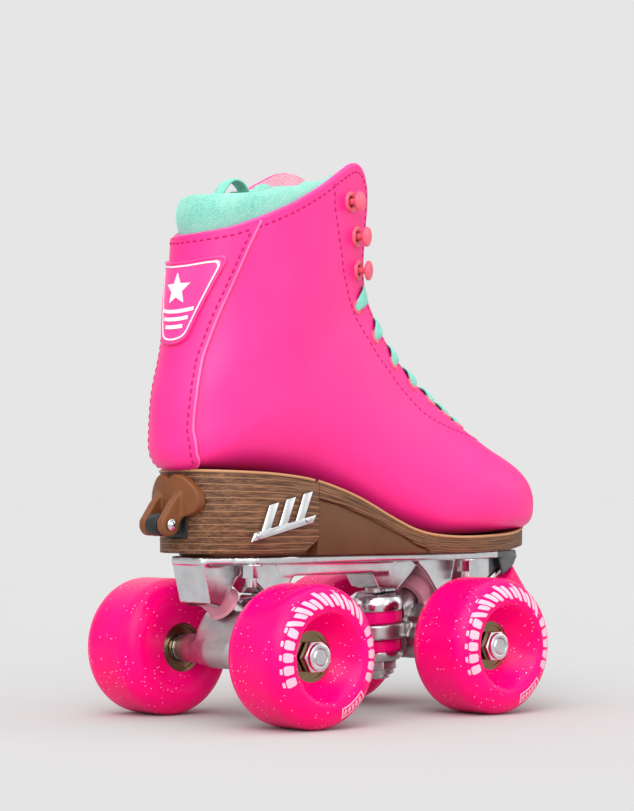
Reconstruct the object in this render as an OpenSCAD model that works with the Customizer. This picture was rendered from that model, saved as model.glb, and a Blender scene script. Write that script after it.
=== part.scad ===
/* [Wheels] */
// Diameter of each wheel
wheel_d = 62; // [58:1:65]
// Width of each wheel
wheel_w = 37.2; // [34:0.2:38]
// Radius that rounds the two edges of the tread
tread_r = 10; // [8:1:13]

/* [Trucks] */
// Distance between the rear axle and the front axle
wheelbase = 111.3; // [108:0.1:114]
// Distance between the middles of a left and a right wheel
track = 97.9; // [96:0.1:104]
// Diameter of the axles
axle_d = 8; // [7:1:8]
// Angle of each kingpin from upright
kingpin_lean = 4.3; // [3:0.1:6]
// Diameter of the kingpins
kingpin_d = 9.5; // [8:0.5:10]

/* [Plate] */
// Height of the top face of the plate
plate_z = 73; // [72:0.5:74]
// Thickness of the plate's flange
flange_t = 3.5; // [3:0.5:4]
// Half of the width of the flange
flange_half = 22; // [20:1:24]

/* [Sole] */
// Half of the width of the heel block
heel_half = 30; // [28:1:31]
// Gap left all round between pieces that slide on each other
running_gap = 0.4; // [0.3:0.1:0.6]

/* [Boot] */
// Thickness of the boot's outer skin
skin_t = 2.2; // [1.8:0.1:2.6]
// Thickness of the foam liner
liner_t = 3; // [2:0.5:4]
// Number of eyelets on each side
eyelet_count = 7; // [6:1:8]
// Number of speed hooks on each side
hook_count = 3; // [2:1:3]

/* [Hidden] */
$fn = 64;

// Colours
HOT_PINK = "#f02a8c";
WHEEL_PINK = "#ff1478";
MINT = "#86dcc4";
CORAL = "#f0708c";
WOOD = "#6e4a34";
BROWN = "#7d5536";
TAN = "#a5673c";
BLACK = "#222222";
METAL = "#c4c6ca";

// Frame: X runs to the toe, Y to the left, Z up; the ground is z = 0.
axle_z = wheel_d / 2;
front_axle_x = 40.8;
rear_axle_x = front_axle_x - wheelbase;
half_track = track / 2;

// ---- Curves -------------------------------------------------------------------------------

// Point at u on the smooth curve through the points p.
function spline(p, u) =
    let (
        last = len(p) - 1,
        i = min(max(floor(u), 0), last - 1),
        t = u - i,
        a = p[max(i - 1, 0)],
        b = p[i],
        c = p[i + 1],
        d = p[min(i + 2, last)]
    )
    0.5 * (2 * b + (c - a) * t + (2 * a - 5 * b + 4 * c - d) * t * t
        + (3 * b - a - 3 * c + d) * t * t * t);

// Points of the smooth curve, with n steps to each span.
function curve(p, n = 4) = [for (i = [0 : (len(p) - 1) * n]) spline(p, i / n)];

// An outline given as its +Y half, from rear to front, closed by its mirror image.
function both_sides(p) =
    concat(p, [for (i = [len(p) - 1 : -1 : 0]) if (abs(p[i][1]) > 0.01) [p[i][0], -p[i][1]]]);

// An arc of radius r about c, from angle a to angle b.
function arc(c, r, a, b, n = 8) = [for (i = [0 : n]) c + r * [cos(a + (b - a) * i / n), sin(a + (b - a) * i / n)]];

// Extrudes a side profile, drawn as [x, z] points, across the full width 2 * half.
module side_extrude(points, half) {
    rotate([90, 0, 0])
        translate([0, 0, -half])
            linear_extrude(2 * half) polygon(points);
}

// ---- Closed meshes ------------------------------------------------------------------------

// The two triangles of one cell of a grid.
function cell(a, b, c, d) = [[a, b, c], [a, c, d]];
function joined(grid) = [for (row = grid) for (p = row) p];

// A thick sheet between two grids of points of the same size.
module thick_sheet(outer, inner) {
    rows = len(outer);
    cols = len(outer[0]);
    n = rows * cols;
    faces = concat(
        [for (i = [0 : rows - 2]) for (j = [0 : cols - 2]) let (a = i * cols + j, d = a + cols)
            each concat(cell(a, a + 1, d + 1, d), cell(n + a, n + d, n + d + 1, n + a + 1))],
        [for (j = [0 : cols - 2]) let (z = (rows - 1) * cols)
            each concat(cell(j, n + j, n + j + 1, j + 1), cell(z + j, z + j + 1, n + z + j + 1, n + z + j))],
        [for (i = [0 : rows - 2]) let (a = i * cols, b = a + cols - 1)
            each concat(cell(a, a + cols, n + a + cols, n + a), cell(b, n + b, n + b + cols, b + cols))]
    );
    polyhedron(points = joined(concat(outer, inner)), faces = faces);
}

// A tube through rings of the same number of points, closed with a cap at each end.
module tube(rings) {
    m = len(rings[0]);
    last = len(rings) - 1;
    n = (last + 1) * m;
    polyhedron(
        points = concat(joined(rings), [middle(rings[0]), middle(rings[last])]),
        faces = concat(
            [for (i = [0 : last - 1]) for (j = [0 : m - 1]) let (k = (j + 1) % m)
                each cell(i * m + j, i * m + k, (i + 1) * m + k, (i + 1) * m + j)],
            [for (j = [0 : m - 1]) [n, (j + 1) % m, j]],
            [for (j = [0 : m - 1]) [n + 1, last * m + j, last * m + (j + 1) % m]]
        )
    );
}

function middle(ring) = [for (p = ring) 1] * ring / len(ring);

// ---- Boot form ----------------------------------------------------------------------------

// Each station is one slanting section of the boot, from the toe to the collar:
// front x, front z, back x, back z, half width, widest place, front and back fullness.
STATIONS = [
    [109, 97, 108.5, 90, 1.5, 0.45, 2, 2.2],
    [108, 103, 107.5, 86, 13, 0.42, 2, 2.4],
    [105, 110, 103.5, 84, 22.5, 0.4, 2, 2.8],
    [98.5, 116, 96.5, 82.7, 30, 0.38, 2.1, 3.2],
    [88.3, 121, 85, 82, 35, 0.36, 2.1, 3.4],
    [77.5, 126, 69, 81, 37.5, 0.34, 2.1, 3.4],
    [66.5, 133.5, 49.5, 80.6, 37.5, 0.32, 2, 3.4],
    [53.5, 142.5, 29.5, 81.2, 36, 0.3, 1.9, 3.4],
    [39, 154, 8.5, 87, 33.5, 0.3, 1.85, 3.2],
    [27, 166, -14.5, 97.5, 31.5, 0.32, 1.8, 3],
    [17.5, 178, -38.5, 105.3, 30.5, 0.36, 1.85, 2.8],
    [11.5, 189, -67, 109.8, 30.5, 0.4, 1.9, 2.8],
    [9, 198, -96, 111.2, 30.5, 0.44, 1.9, 2.6],
    [8.5, 206, -105.5, 114.5, 30.2, 0.45, 1.9, 2.3],
    [8.5, 214, -107.5, 126, 30.2, 0.46, 1.9, 2.1],
    [9, 222, -106, 142, 30.2, 0.47, 1.9, 2.1],
    [9.5, 231, -101.5, 160, 30.2, 0.48, 1.9, 2.1],
    [10, 240, -98, 182, 30.2, 0.49, 1.9, 2.1],
    [9.5, 250, -96, 204, 30.2, 0.5, 1.9, 2.1],
    [8.5, 262, -94.5, 226, 30.2, 0.5, 1.9, 2.1]
];
throat_u = 5.3;
sole_line = 111.9;

// Height of the collar's edge, as [x, z] points.
COLLAR = [
    [-97, 212.6], [-85, 215.6], [-70.5, 221.5], [-57.5, 227.3], [-42, 235.7], [-30, 243],
    [-20, 248.4], [-14, 249.6], [-9, 248.4], [-5, 245.4], [-2, 241], [0, 235], [12, 218]
];
// Edge of the heel counter, as [z, x] points.
COUNTER_EDGE = [
    [108, -95], [113, -98], [118, -101], [128, -102.2], [136, -101.6], [147, -100], [159, -97], [178, -90.7],
    [189, -86.3], [200, -82], [210, -78], [217, -74.8], [230, -68]
];

function lens(c, e) = pow(abs(c), 2 / e);

// Point of the boot's outer surface at station u and angle v: v = 0 is the front ridge.
function boot_point(u, v) =
    let (
        s = spline(STATIONS, u),
        c = cos(v),
        e = c >= 0 ? s[6] : s[7],
        k = c >= 0 ? s[5] + (1 - s[5]) * lens(c, e) : s[5] - s[5] * lens(c, e),
        y = s[4] * sign(sin(v)) * lens(sin(v), e)
    )
    [s[2] + (s[0] - s[2]) * k, y, s[3] + (s[1] - s[3]) * k];

// Outward direction of the surface there.
function boot_normal(u, v) =
    let (n = cross(boot_point(u, v + 2) - boot_point(u, v - 2), boot_point(u + 0.15, v) - boot_point(u - 0.15, v)))
    n / norm(n);

// The same point moved inwards by depth.
function boot_inside(u, v, depth) = boot_point(u, v) - depth * boot_normal(u, v);

// Station where the angle v reaches the collar's edge, raised by lift.
function collar_u(v, lift = 0, low = 9, high = 19, steps = 14) =
    steps == 0 ? (low + high) / 2 :
    let (u = (low + high) / 2, p = boot_point(u, v))
    p[2] > lookup(p[0], COLLAR) + lift ? collar_u(v, lift, low, u, steps - 1)
        : collar_u(v, lift, u, high, steps - 1);

// Half of the gap between the two lace facings at station u, and the angle that it spans.
function facing_gap(u) = lookup(u, [[throat_u, 5.5], [9, 13], [12, 17], [19, 18]]);
function edge_angle(u, y) = let (s = spline(STATIONS, u)) asin(pow(y / s[4], s[6] / 2));
function back_angle(u, y) = let (s = spline(STATIONS, u)) 180 - asin(pow(y / s[4], s[7] / 2));

// Station where the angle v, round the heel, reaches the top of the sole.
function sole_u(v, low = 11.4, high = 14.2, steps = 12) =
    steps == 0 ? (low + high) / 2 :
    let (u = (low + high) / 2)
    boot_point(u, v)[2] > sole_line ? sole_u(v, low, u, steps - 1) : sole_u(v, u, high, steps - 1);

// Station on the heel counter at the angle v, the share w of the way from the sole to the collar.
function counter_u(v, w) = let (low = sole_u(v)) low + w * (collar_u(v, -0.8) - low);

// Angle of the heel counter's edge, the share w of the way up.
function counter_angle(w, low = 60, high = 179, steps = 14) =
    steps == 0 ? (low + high) / 2 :
    let (v = (low + high) / 2, p = boot_point(counter_u(v, w), v))
    p[0] > lookup(p[2], COUNTER_EDGE) ? counter_angle(w, v, high, steps - 1)
        : counter_angle(w, low, v, steps - 1);

// Station where the surface, at the distance y from the middle, reaches the height z.
function front_u(z, y, low = throat_u, high = 18, steps = 14) =
    steps == 0 ? (low + high) / 2 :
    let (u = (low + high) / 2)
    boot_point(u, edge_angle(u, y))[2] > z ? front_u(z, y, low, u, steps - 1) : front_u(z, y, u, high, steps - 1);

// A frame on the surface: local Z points outwards and local X up the boot.
module on_boot(u, v) {
    p = boot_point(u, v);
    z = boot_normal(u, v);
    t = boot_point(u + 0.1, v) - boot_point(u - 0.1, v);
    y = cross(z, t) / norm(cross(z, t));
    x = cross(y, z);
    multmatrix([[x[0], y[0], z[0], p[0]], [x[1], y[1], z[1], p[1]], [x[2], y[2], z[2], p[2]], [0, 0, 0, 1]])
        children();
}

// ---- Boot pieces --------------------------------------------------------------------------

// Toe part of the boot's skin: closed rings from the toe tip to the throat.
module vamp() {
    rows = 12;
    cols = 36;
    tip = 0.9;
    outer = [for (i = [0 : rows]) [for (j = [0 : cols - 1]) boot_point(throat_u * i / rows, j * 360 / cols)]];
    inner = [for (i = [0 : rows]) [for (j = [0 : cols - 1])
        boot_inside(tip + (throat_u - tip) * i / rows, j * 360 / cols, skin_t)]];
    n = (rows + 1) * cols;
    z = rows * cols;
    color(HOT_PINK)
        polyhedron(
            points = concat(joined(outer), joined(inner), [middle(outer[0]), middle(inner[0])]),
            faces = concat(
                [for (i = [0 : rows - 1]) for (j = [0 : cols - 1]) let (a = i * cols + j, b = i * cols + (j + 1) % cols)
                    each concat(cell(a, b, b + cols, a + cols), cell(n + a, n + a + cols, n + b + cols, n + b))],
                [for (j = [0 : cols - 1]) let (k = (j + 1) % cols) each cell(z + j, z + k, n + z + k, n + z + j)],
                [for (j = [0 : cols - 1]) [2 * n, (j + 1) % cols, j]],
                [for (j = [0 : cols - 1]) [2 * n + 1, n + j, n + (j + 1) % cols]]
            )
        );
}

// Grid over the ankle part of the boot, open at the throat, at a depth below the outer skin.
// first and last are the share of the way from the throat to the collar; margin moves its front edge back.
function ankle_grid(depth, first, last, margin, rows = 16, cols = 40) =
    [for (i = [0 : rows]) [for (j = [0 : cols])
        let (
            side = 2 * j / cols - 1,
            w = first + (last - first) * i / rows,
            rough_u = throat_u + w * (14 - throat_u),
            v0 = edge_angle(rough_u, facing_gap(rough_u)) + margin,
            v = 180 + side * (180 - v0),
            u = throat_u + w * (collar_u(v) - throat_u)
        )
        boot_inside(u, v, depth)]];

module quarters() {
    color(HOT_PINK) thick_sheet(ankle_grid(0, 0, 1, 0), ankle_grid(skin_t, 0, 1, 0));
}

module liner() {
    depth = skin_t + 0.6;
    color("#f6a6c4")
        thick_sheet(ankle_grid(depth, 0.05, 0.8, 14, 14, 40), ankle_grid(depth + liner_t, 0.05, 0.8, 14, 14, 40));
}

// Padded collar: a rounded pad inside the top of the boot that stands proud of it at the back.
module cuff() {
    steps = 26;
    thick = 9;
    first_angle = 55;
    color(MINT)
        tube([for (i = [0 : steps])
            let (
                v = first_angle + (360 - 2 * first_angle) * i / steps,
                u = collar_u(v),
                p = boot_point(u, v),
                inward = -boot_normal(u, v),
                flat_in = [inward[0], inward[1], 0] / norm([inward[0], inward[1]]),
                proud = lookup(p[0], [[-97, 18.5], [-60, 10.5], [-35, 2], [-20, -5], [0, -9]]),
                bulge = lookup(p[0], [[-97, 1.5], [-60, 0], [-30, -1.5]])
            )
            [for (q = [[2.8, -24], [2.8, -2], [2.5 - bulge, 3], [0.8 - bulge, proud * 0.55], [2.5 - bulge, proud - 2],
                       [5 - bulge, proud], [7.5, proud - 0.5], [thick + 1, proud - 4], [thick + 1.6, proud - 12], [7, -24]])
                p + q[0] * flat_in + [0, 0, q[1]]]]);
}

// Padded tongue under the facings. Between them it is flatter than the boot's own form.
module tongue() {
    function grid(depth) = [for (i = [0 : 16]) [for (j = [0 : 8])
        let (
            u = throat_u + 0.15 + (16.6 - throat_u) * i / 16,
            side = 2 * j / 8 - 1,
            end = boot_inside(u, edge_angle(u, facing_gap(u)) + lookup(u, [[6, 5], [15, 4]]), depth)
        )
        [end[0], end[1] * side, end[2]] + 0.4 * (1 - side * side) * boot_normal(u, 0)]];
    color("#f6a6c4") thick_sheet(grid(skin_t + 0.8), grid(skin_t + 4.2));
}

// Stations of the eyelets and hooks along the facing, from the lowest up.
eyelet_back = 6;
hook_y = [21, 23.8, 26.8];
function eyelet_u(i) = let (t = i / (eyelet_count - 1), z = 133 + 26 * t + 27 * t * t)
    front_u(z, lookup(z, [[133, 7], [189, 17]]) + eyelet_back);
function hook_u(i) = front_u(202 + 15 * i, hook_y[i]);

module eyelets() {
    color(CORAL)
        for (i = [0 : eyelet_count - 1], side = [-1, 1])
            on_boot(eyelet_u(i), side * edge_angle(eyelet_u(i), facing_gap(eyelet_u(i)) + eyelet_back))
                difference() {
                    translate([0, 0, -0.3]) cylinder(h = 1.2, d = 6.6);
                    translate([0, 0, -1]) cylinder(h = 3, d = 3.8);
                }
}

module lace_hooks() {
    color(CORAL)
        for (i = [0 : hook_count - 1], side = [-1, 1])
            on_boot(hook_u(i), side * edge_angle(hook_u(i), hook_y[i]))
                rotate_extrude()
                    polygon([[0, -0.3], [4.8, -0.3], [4.8, 0.9], [2.4, 1.4], [1.8, 4], [4.4, 4.6], [4.6, 5.6], [3, 6.3], [0, 6.5]]);
}

// Point on the line of a lace band at station u, the distance y from the middle: on the facing it follows
// the boot, and between the facings it crosses in a low arch.
function lace_point(u, y) =
    let (gap = facing_gap(u), lift = 2.6, edge = boot_inside(u, edge_angle(u, gap), -lift), side = y / gap)
    abs(side) >= 1 ? boot_inside(u, sign(y) * edge_angle(u, abs(y)), -lift)
        : [edge[0], y, edge[2]] + 1.6 * (1 - side * side) * boot_normal(u, 0);

// One flat band of the lace across the throat for each pair of eyelets.
module lace() {
    steps = 12;
    half_w = 3;
    thick = 1.2;
    color(MINT)
        for (i = [0 : eyelet_count - 1]) {
            u = eyelet_u(i);
            reach = facing_gap(u) + eyelet_back;
            tube([for (k = [0 : steps])
                let (
                    y = reach * (2 * k / steps - 1),
                    v = sign(y) * edge_angle(u, abs(y)),
                    up = boot_normal(u, v),
                    t = boot_point(u + 0.1, v) - boot_point(u - 0.1, v),
                    w = half_w * t / norm(t),
                    p = lace_point(u, y)
                )
                [p - w, p + w, p + w + thick * up, p - w + thick * up]]);
        }
}

// Pull loop of flat tape sewn inside the left side of the collar.
module pull_loop() {
    color(MINT)
        translate([-49, 21.6, 230])
            rotate([-10, 0, 0])
                rotate([90, 0, 0])
                    rotate_extrude(angle = 180) translate([9, -4]) square([1.4, 8]);
}

// Footbed inside the boot.
module insole() {
    function bed(depth) = [for (i = [0 : 14]) [for (j = [0 : 10])
        boot_inside(2.8 + 9.2 * i / 14, 180 + 42 * (2 * j / 10 - 1), depth)]];
    color("#d8d8d8") thick_sheet(bed(skin_t + liner_t + 1), bed(skin_t + liner_t + 3.6));
}

module heel_counter() {
    edge = [for (i = [0 : 12]) counter_angle(i / 12)];
    function shell(depth) = [for (i = [0 : 12]) [for (j = [0 : 16])
        let (v = 180 + (2 * j / 16 - 1) * (180 - edge[i]))
        boot_inside(counter_u(v, i / 12), v, depth)]];
    color(HOT_PINK) thick_sheet(shell(-1.9), shell(-2 * running_gap));
}

module heel_patch() {
    function shell(depth) = [for (i = [0 : 8]) [for (j = [0 : 10])
        let (u = 16.25 + 1.6 * i / 8, half = lookup(i, [[0, 6], [1, 9], [7, 18], [8, 17]]))
        boot_inside(u, 180 + (2 * j / 10 - 1) * (180 - back_angle(u, half)), depth)]];
    color(HOT_PINK) thick_sheet(shell(-3), shell(-2));
}

// ---- Sole ---------------------------------------------------------------------------------

// Top of the sole as [x, z] points, from the heel to the toe.
SOLE_TOP = [
    [-111, 111], [-90.5, 110], [-66.5, 108.7], [-47.5, 106.6], [-31.5, 102.9], [-15.5, 97.5],
    [4.5, 88], [13.5, 84], [24.5, 81.4], [41.5, 80.2], [64.5, 80.5], [84.5, 81.7], [113, 85.6]
];
// Half outline of the sole in front of the heel, seen from above.
SOLE_SIDE = [
    [-70.5, 30], [-55, 30], [-40, 29.7], [-20, 29.5], [0, 31], [15, 34], [30, 36], [45, 36.5],
    [60, 35.5], [75, 32.5], [88, 27.8], [99.5, 20.8], [108, 11.5], [111.5, 0]
];
HEEL_C = [-70.5, 0];
block_front = -42.5;
block_wall = 8;
cavity_top = 98.2;
bracket_half = 7;
bracket_z = 81;
bracket_h = 12;
pawl_z = 94;
rack_z = 86;
rack_front = -72;
heel_z = plate_z + 1.4;

// Outline of the whole sole seen from above, pulled in by inset.
module sole_plan(inset = 0) {
    side = [for (p = curve(SOLE_SIDE, 3)) [p[0] - (p[0] > 60 ? inset : 0), max(p[1] - inset, 0)]];
    polygon(both_sides(concat(arc(HEEL_C, heel_half - inset, 180, 95, 10), side)));
}

// Part of the side profile between x = a and x = b, from the height z0 up to the sole's top minus drop.
function sole_profile(a, b, z0, drop) =
    let (top = curve(SOLE_TOP, 3))
    concat([[a, z0], [b, z0], [b, lookup(b, top) - drop]],
        [for (i = [len(top) - 1 : -1 : 0]) if (top[i][0] > a + 0.5 && top[i][0] < b - 0.5) [top[i][0], top[i][1] - drop]],
        [[a, lookup(a, top) - drop]]);

// Top of the bare panel at the arch, as [x, z] points.
PANEL_TOP = [[block_front, 98], [-28.5, 95.3], [-9.5, 88.7], [7.5, 81.3], [15.5, 76.6], [22, plate_z + 1.5]];

// Side profile of the panel.
function panel_profile() =
    concat([[block_front, plate_z], [22, plate_z]], [for (i = [len(PANEL_TOP) - 1 : -1 : 0]) PANEL_TOP[i]]);

// Hollow wooden heel that slides on the core.
module heel_block() {
    color(WOOD)
        difference() {
            intersection() {
                side_extrude(concat(
                    [[-111, heel_z], [block_front - 9, heel_z], [block_front, heel_z + 6]],
                    [for (p = sole_profile(-111, block_front, heel_z, 0.1)) if (p[1] > heel_z + 1) p]), 40);
                translate([0, 0, heel_z]) linear_extrude(60) sole_plan();
            }
            heel_inside(heel_half - block_wall, heel_z - 1, cavity_top, block_front + 1);
            // Recess for the lever's bracket and slot for the pawl.
            translate([-120, -bracket_half, bracket_z]) cube([25, 2 * bracket_half, bracket_h]);
            translate([-103, -3.6, pawl_z - 0.1]) cube([12, 7.2, 2.8]);
        }
}

// The space inside the heel block: seen from above, half round at the back and straight in front.
module heel_inside(half, z0, z1, front) {
    translate([0, 0, z0])
        linear_extrude(z1 - z0)
            union() {
                translate(HEEL_C) circle(r = half);
                translate([HEEL_C[0], -half]) square([front - HEEL_C[0], 2 * half]);
            }
}

// Moulded core under the whole foot: it fills the heel block and shows as the bare arch panel.
module sole_core() {
    color(BROWN)
        union() {
            difference() {
                heel_inside(heel_half - block_wall - running_gap, plate_z, cavity_top - running_gap, block_front);
                // Slot for the size rack.
                translate([-120, -6, rack_z]) cube([rack_front + 120.5, 12, 40]);
            }
            intersection() {
                side_extrude(panel_profile(), 40);
                translate([0, 0, plate_z]) linear_extrude(40) sole_plan(1.2);
            }
        }
}

// Wooden sole from the arch to the toe.
module toe_sole() {
    rear = block_front + running_gap;
    color(WOOD)
        intersection() {
            difference() {
                side_extrude(concat(
                    [[rear, 90], [rear, plate_z], [50, plate_z], [78.5, plate_z + 0.6], [100.5, plate_z + 2.4], [114, plate_z + 5.2]],
                    [for (p = sole_profile(rear, 113, 0, 0)) if (p[1] > 1) p]), 40);
                side_extrude(concat([[block_front - 1, plate_z - 1], [22, plate_z - 1]],
                    [for (i = [len(PANEL_TOP) - 1 : -1 : 0]) PANEL_TOP[i]], [[block_front - 1, 98.2]]), 41);
            }
            translate([0, 0, plate_z]) linear_extrude(60) sole_plan();
        }
}

// Toothed bar that the pawl locks into.
module size_rack() {
    pitch = 5;
    color(METAL)
        difference() {
            translate([rack_front - 19.5, -4, rack_z]) cube([19.5, 8, 6]);
            for (i = [0 : 3])
                translate([rack_front - 17 + i * pitch, -5, rack_z + 4]) cube([2.2, 10, 3]);
        }
}

// Steel pawl of the size lock, drawn lifted just clear of the rack.
module lock_pawl() {
    color(METAL)
        side_extrude([[-100, pawl_z], [-74.1, pawl_z], [-73.7, pawl_z - 1.5], [-72.5, pawl_z - 1.5], [-72.1, pawl_z + 2.6],
                      [-100, pawl_z + 2.6]], 3.5);
}

// Generic ornament on each side of the heel block: three slanting bars on a long bar.
module side_badges() {
    color(METAL)
        for (side = [-1, 1])
            translate([-84, side * (heel_half + 0.9), 79.5])
                rotate([90, 0, 0])
                    linear_extrude(1.6, center = true)
                        union() {
                            polygon([[0, 0], [36, 8], [38, 11.6], [2, 4]]);
                            for (i = [0 : 2])
                                translate([5 + 10 * i, 2.2 + 2.4 * i]) polygon([[0, 0], [5.2, 1.2], [11, 15], [5.6, 13.8]]);
                        }
}

module badge_rivets() {
    color(METAL)
        for (side = [-1, 1], p = [[-80, 82.2], [-51, 88.9]])
            translate([p[0], side * (heel_half + 1.7), p[1]])
                rotate([-90 * side, 0, 0])
                    rotate_extrude() polygon([[0, -6.5], [0.8, -6.5], [0.8, 0], [1.5, 0], [1.3, 0.6], [0.6, 0.9], [0, 0.95]]);
}

// ---- Heel lever ---------------------------------------------------------------------------

LEVER_PIVOT = [-109.5, 0, 87];
pin_d = 3;
lug_in = 4;
lug_out = 8.2;

module along_pivot(height) {
    translate(LEVER_PIVOT) rotate([90, 0, 0]) linear_extrude(height, center = true) children();
}

// Base that fills the recess in the block, and the barrel that the lever turns on.
module lever_bracket() {
    color(BLACK)
        difference() {
            union() {
                translate([-100.1, 0.1 - bracket_half, bracket_z + 0.1]) cube([5, 2 * bracket_half - 0.2, bracket_h - 0.2]);
                translate([LEVER_PIVOT[0], 0.4 - lug_in, 83]) cube([10, 2 * lug_in - 0.8, 7]);
                along_pivot(2 * lug_in - 0.8) circle(r = 5);
            }
            along_pivot(30) circle(d = pin_d + 0.1);
        }
}

module lever_pin() {
    color(METAL)
        union() {
            along_pivot(2 * lug_out + 0.4) circle(d = pin_d);
            for (side = [-1, 1])
                translate([0, side * (lug_out + 0.8), 0]) along_pivot(1.2) circle(d = 5.4);
        }
}

// Upper edge and tip of one wing of the lever, as [distance from the middle, z] points.
WING = [[0, 106.6], [3, 108.6], [7, 108.6], [10.5, 106.6], [13.8, 103.4], [15.8, 100.3], [16.3, 97.3], [15.6, 94.3], [13.6, 92]];

// Two-winged lever curved round the heel. Its wings stay outside the block all the way down.
module heel_lever() {
    wing_r = heel_half + 2 * running_gap;
    wing_t = 3.6;
    top = curve(WING, 3);
    color(TAN)
        difference() {
            union() {
                intersection() {
                    translate(concat(HEEL_C, 80))
                        difference() {
                            cylinder(r = wing_r + wing_t, h = 40);
                            translate([0, 0, -1]) cylinder(r = wing_r, h = 42);
                        }
                    translate([-80, 0, 0])
                        rotate([90, 0, -90])
                            linear_extrude(60) polygon(both_wings(concat(top, [[11, 91], [9, 90.4], [lug_in, 90.4], [lug_in, 93]])));
                }
                // Two arms down to the lugs.
                for (side = [-1, 1])
                    translate([0, side * (lug_in + lug_out) / 2, 0])
                        side_extrude([[-101.8, 91], [-101.8, 101], [-104.6, 101], [-109, 96], [-114, 89], [-112, 86], [-106, 86]],
                            (lug_out - lug_in) / 2);
                for (side = [-1, 1])
                    translate([0, side * (lug_in + lug_out) / 2, 0]) along_pivot(lug_out - lug_in) circle(r = 4.9);
            }
            along_pivot(30) circle(d = pin_d + 0.1);
            // Room for the bracket's barrel.
            along_pivot(2 * lug_in) circle(r = 5.4);
        }
}

// An outline given as its right half, from top to bottom, closed by its mirror image.
function both_wings(p) = concat(p, [for (i = [len(p) - 1 : -1 : 0]) if (p[i][0] > 0.01) [-p[i][0], p[i][1]]]);

// ---- Plate --------------------------------------------------------------------------------

flange_z = plate_z - flange_t;
// Along a truck, local x points away from the middle of the skate and local z is up from the ground.
RING = [-18.9, 0, 36.5];
PIVOT = [9.7, 0, 57];
pivot_tilt = atan2(PIVOT[0] - RING[0], PIVOT[2] - RING[2]);

module at_truck(front) {
    translate([front ? front_axle_x : rear_axle_x, 0, 0])
        rotate([0, 0, front ? 0 : 180]) children();
}

// Along the kingpin, with z = 0 at the middle of the hanger's ring.
module at_kingpin(front) {
    at_truck(front) translate(RING) rotate([0, -kingpin_lean, 0]) children();
}

// Along the steering axis, with z = 0 at the middle of the pivot's ball.
module at_pivot(front) {
    at_truck(front) translate(PIVOT) rotate([0, pivot_tilt, 0]) children();
}

cup_d = 15;
MOUNT_X = [-71.5, 64.5];
mount_y = 17;
STOP_TOP = [96, 0, 60];
stop_tilt = 33;

// Along the toe stop's stem, with z = 0 at the top of the rubber and +z pointing down and forward.
module at_toe_stop() {
    translate(STOP_TOP) rotate([0, 180 - stop_tilt, 0]) children();
}

module plate() {
    outline = both_sides(concat(
        [[-95, 0], [-94.5, 10], [-80, 15], [-72, flange_half], [66, flange_half], [82, 17], [96, 13.2]],
        arc([98.5, 0], 13, 75, 0, 8)));
    color(METAL)
        difference() {
            union() {
                translate([0, 0, flange_z]) linear_extrude(flange_t) polygon(outline);
                // Beam between the trucks.
                side_extrude([[-52, flange_z + 1], [-47, 63.5], [20, 63.5], [25, flange_z + 1]], 10);
                // Bosses over the kingpins.
                for (front = [false, true])
                    at_truck(front)
                        side_extrude([[-36, flange_z + 1], [-27, 56.5], [-14.5, 55.6], [-5, 63.5], [2, flange_z + 1]], 9.5);
                // Housings of the pivots.
                for (front = [false, true])
                    at_truck(front)
                        side_extrude([[-6, flange_z + 1], [3, 63], [13, 50.5], [19, 52.5], [23.5, flange_z + 1]], 10.5);
                // Nose that holds the toe stop.
                side_extrude([[66, flange_z + 1], [72, 58], [82, 55.9], [100, 67.6], [104, flange_z + 1]], 9.5);
                // Cheeks beside the toe stop's nut.
                for (side = [-1, 1])
                    translate([0, side * 12.2, 0])
                        side_extrude([[91, flange_z + 1], [94.5, 61], [97, 62.3], [102, 65.6], [105, flange_z + 1]], 0.8);
            }
            for (front = [false, true]) {
                at_kingpin(front) translate([0, 0, 14]) cylinder(d = kingpin_d + 0.1, h = 17);
                at_pivot(front) translate([0, 0, -9]) cylinder(d = cup_d, h = 15);
            }
            for (x = MOUNT_X, y = [-mount_y, mount_y])
                translate([x, y, 60]) cylinder(d = 5.2, h = 20);
            at_toe_stop() translate([0, 0, -12]) cylinder(d = 12.6, h = 50);
        }
}

module mount_bolts() {
    color(METAL)
        for (x = MOUNT_X, y = [-mount_y, mount_y])
            translate([x, y, 59.5]) cylinder(d = 5, h = plate_z - 59.5);
}

module mount_nuts() {
    color(METAL)
        for (x = MOUNT_X, y = [-mount_y, mount_y])
            translate([x, y, flange_z - 6])
                difference() {
                    union() {
                        translate([0, 0, 5]) cylinder(d = 10, h = 1);
                        cylinder(d = 9.2, h = 5, $fn = 6);
                    }
                    translate([0, 0, -1]) cylinder(d = 5, h = 8);
                }
}

module toe_stop_stem() {
    color(METAL)
        at_toe_stop() translate([0, 0, -11.5]) cylinder(d = 12.5, h = 20);
}

module toe_stop_nut() {
    color(METAL)
        at_toe_stop()
            translate([0, 0, -4])
                difference() {
                    cylinder(d = 22, h = 3.9, $fn = 6);
                    translate([0, 0, -1]) cylinder(d = 12.5, h = 8);
                }
}

module toe_stop() {
    color(WHEEL_PINK)
        at_toe_stop()
            rotate_extrude()
                polygon([[6.25, 0], [13, 0], [14, 1], [15.4, 18], [14.4, 21], [12, 22], [0, 22], [0, 8.5], [6.25, 8.5]]);
}

// ---- Trucks -------------------------------------------------------------------------------

module kingpin(front) {
    color(METAL)
        at_kingpin(front)
            rotate_extrude()
                polygon([[0, -22.5], [kingpin_d / 2 - 1, -22.5], [kingpin_d / 2, -21.5], [kingpin_d / 2, 28], [0, 28]]);
}

module kingpin_nut(front) {
    color(METAL)
        at_kingpin(front)
            difference() {
                union() {
                    translate([0, 0, -18]) cylinder(d = 16.6, h = 4.2, $fn = 6);
                    translate([0, 0, -20.4]) cylinder(d = 13.4, h = 2.4);
                }
                translate([0, 0, -30]) cylinder(d = kingpin_d, h = 30);
            }
}

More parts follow.
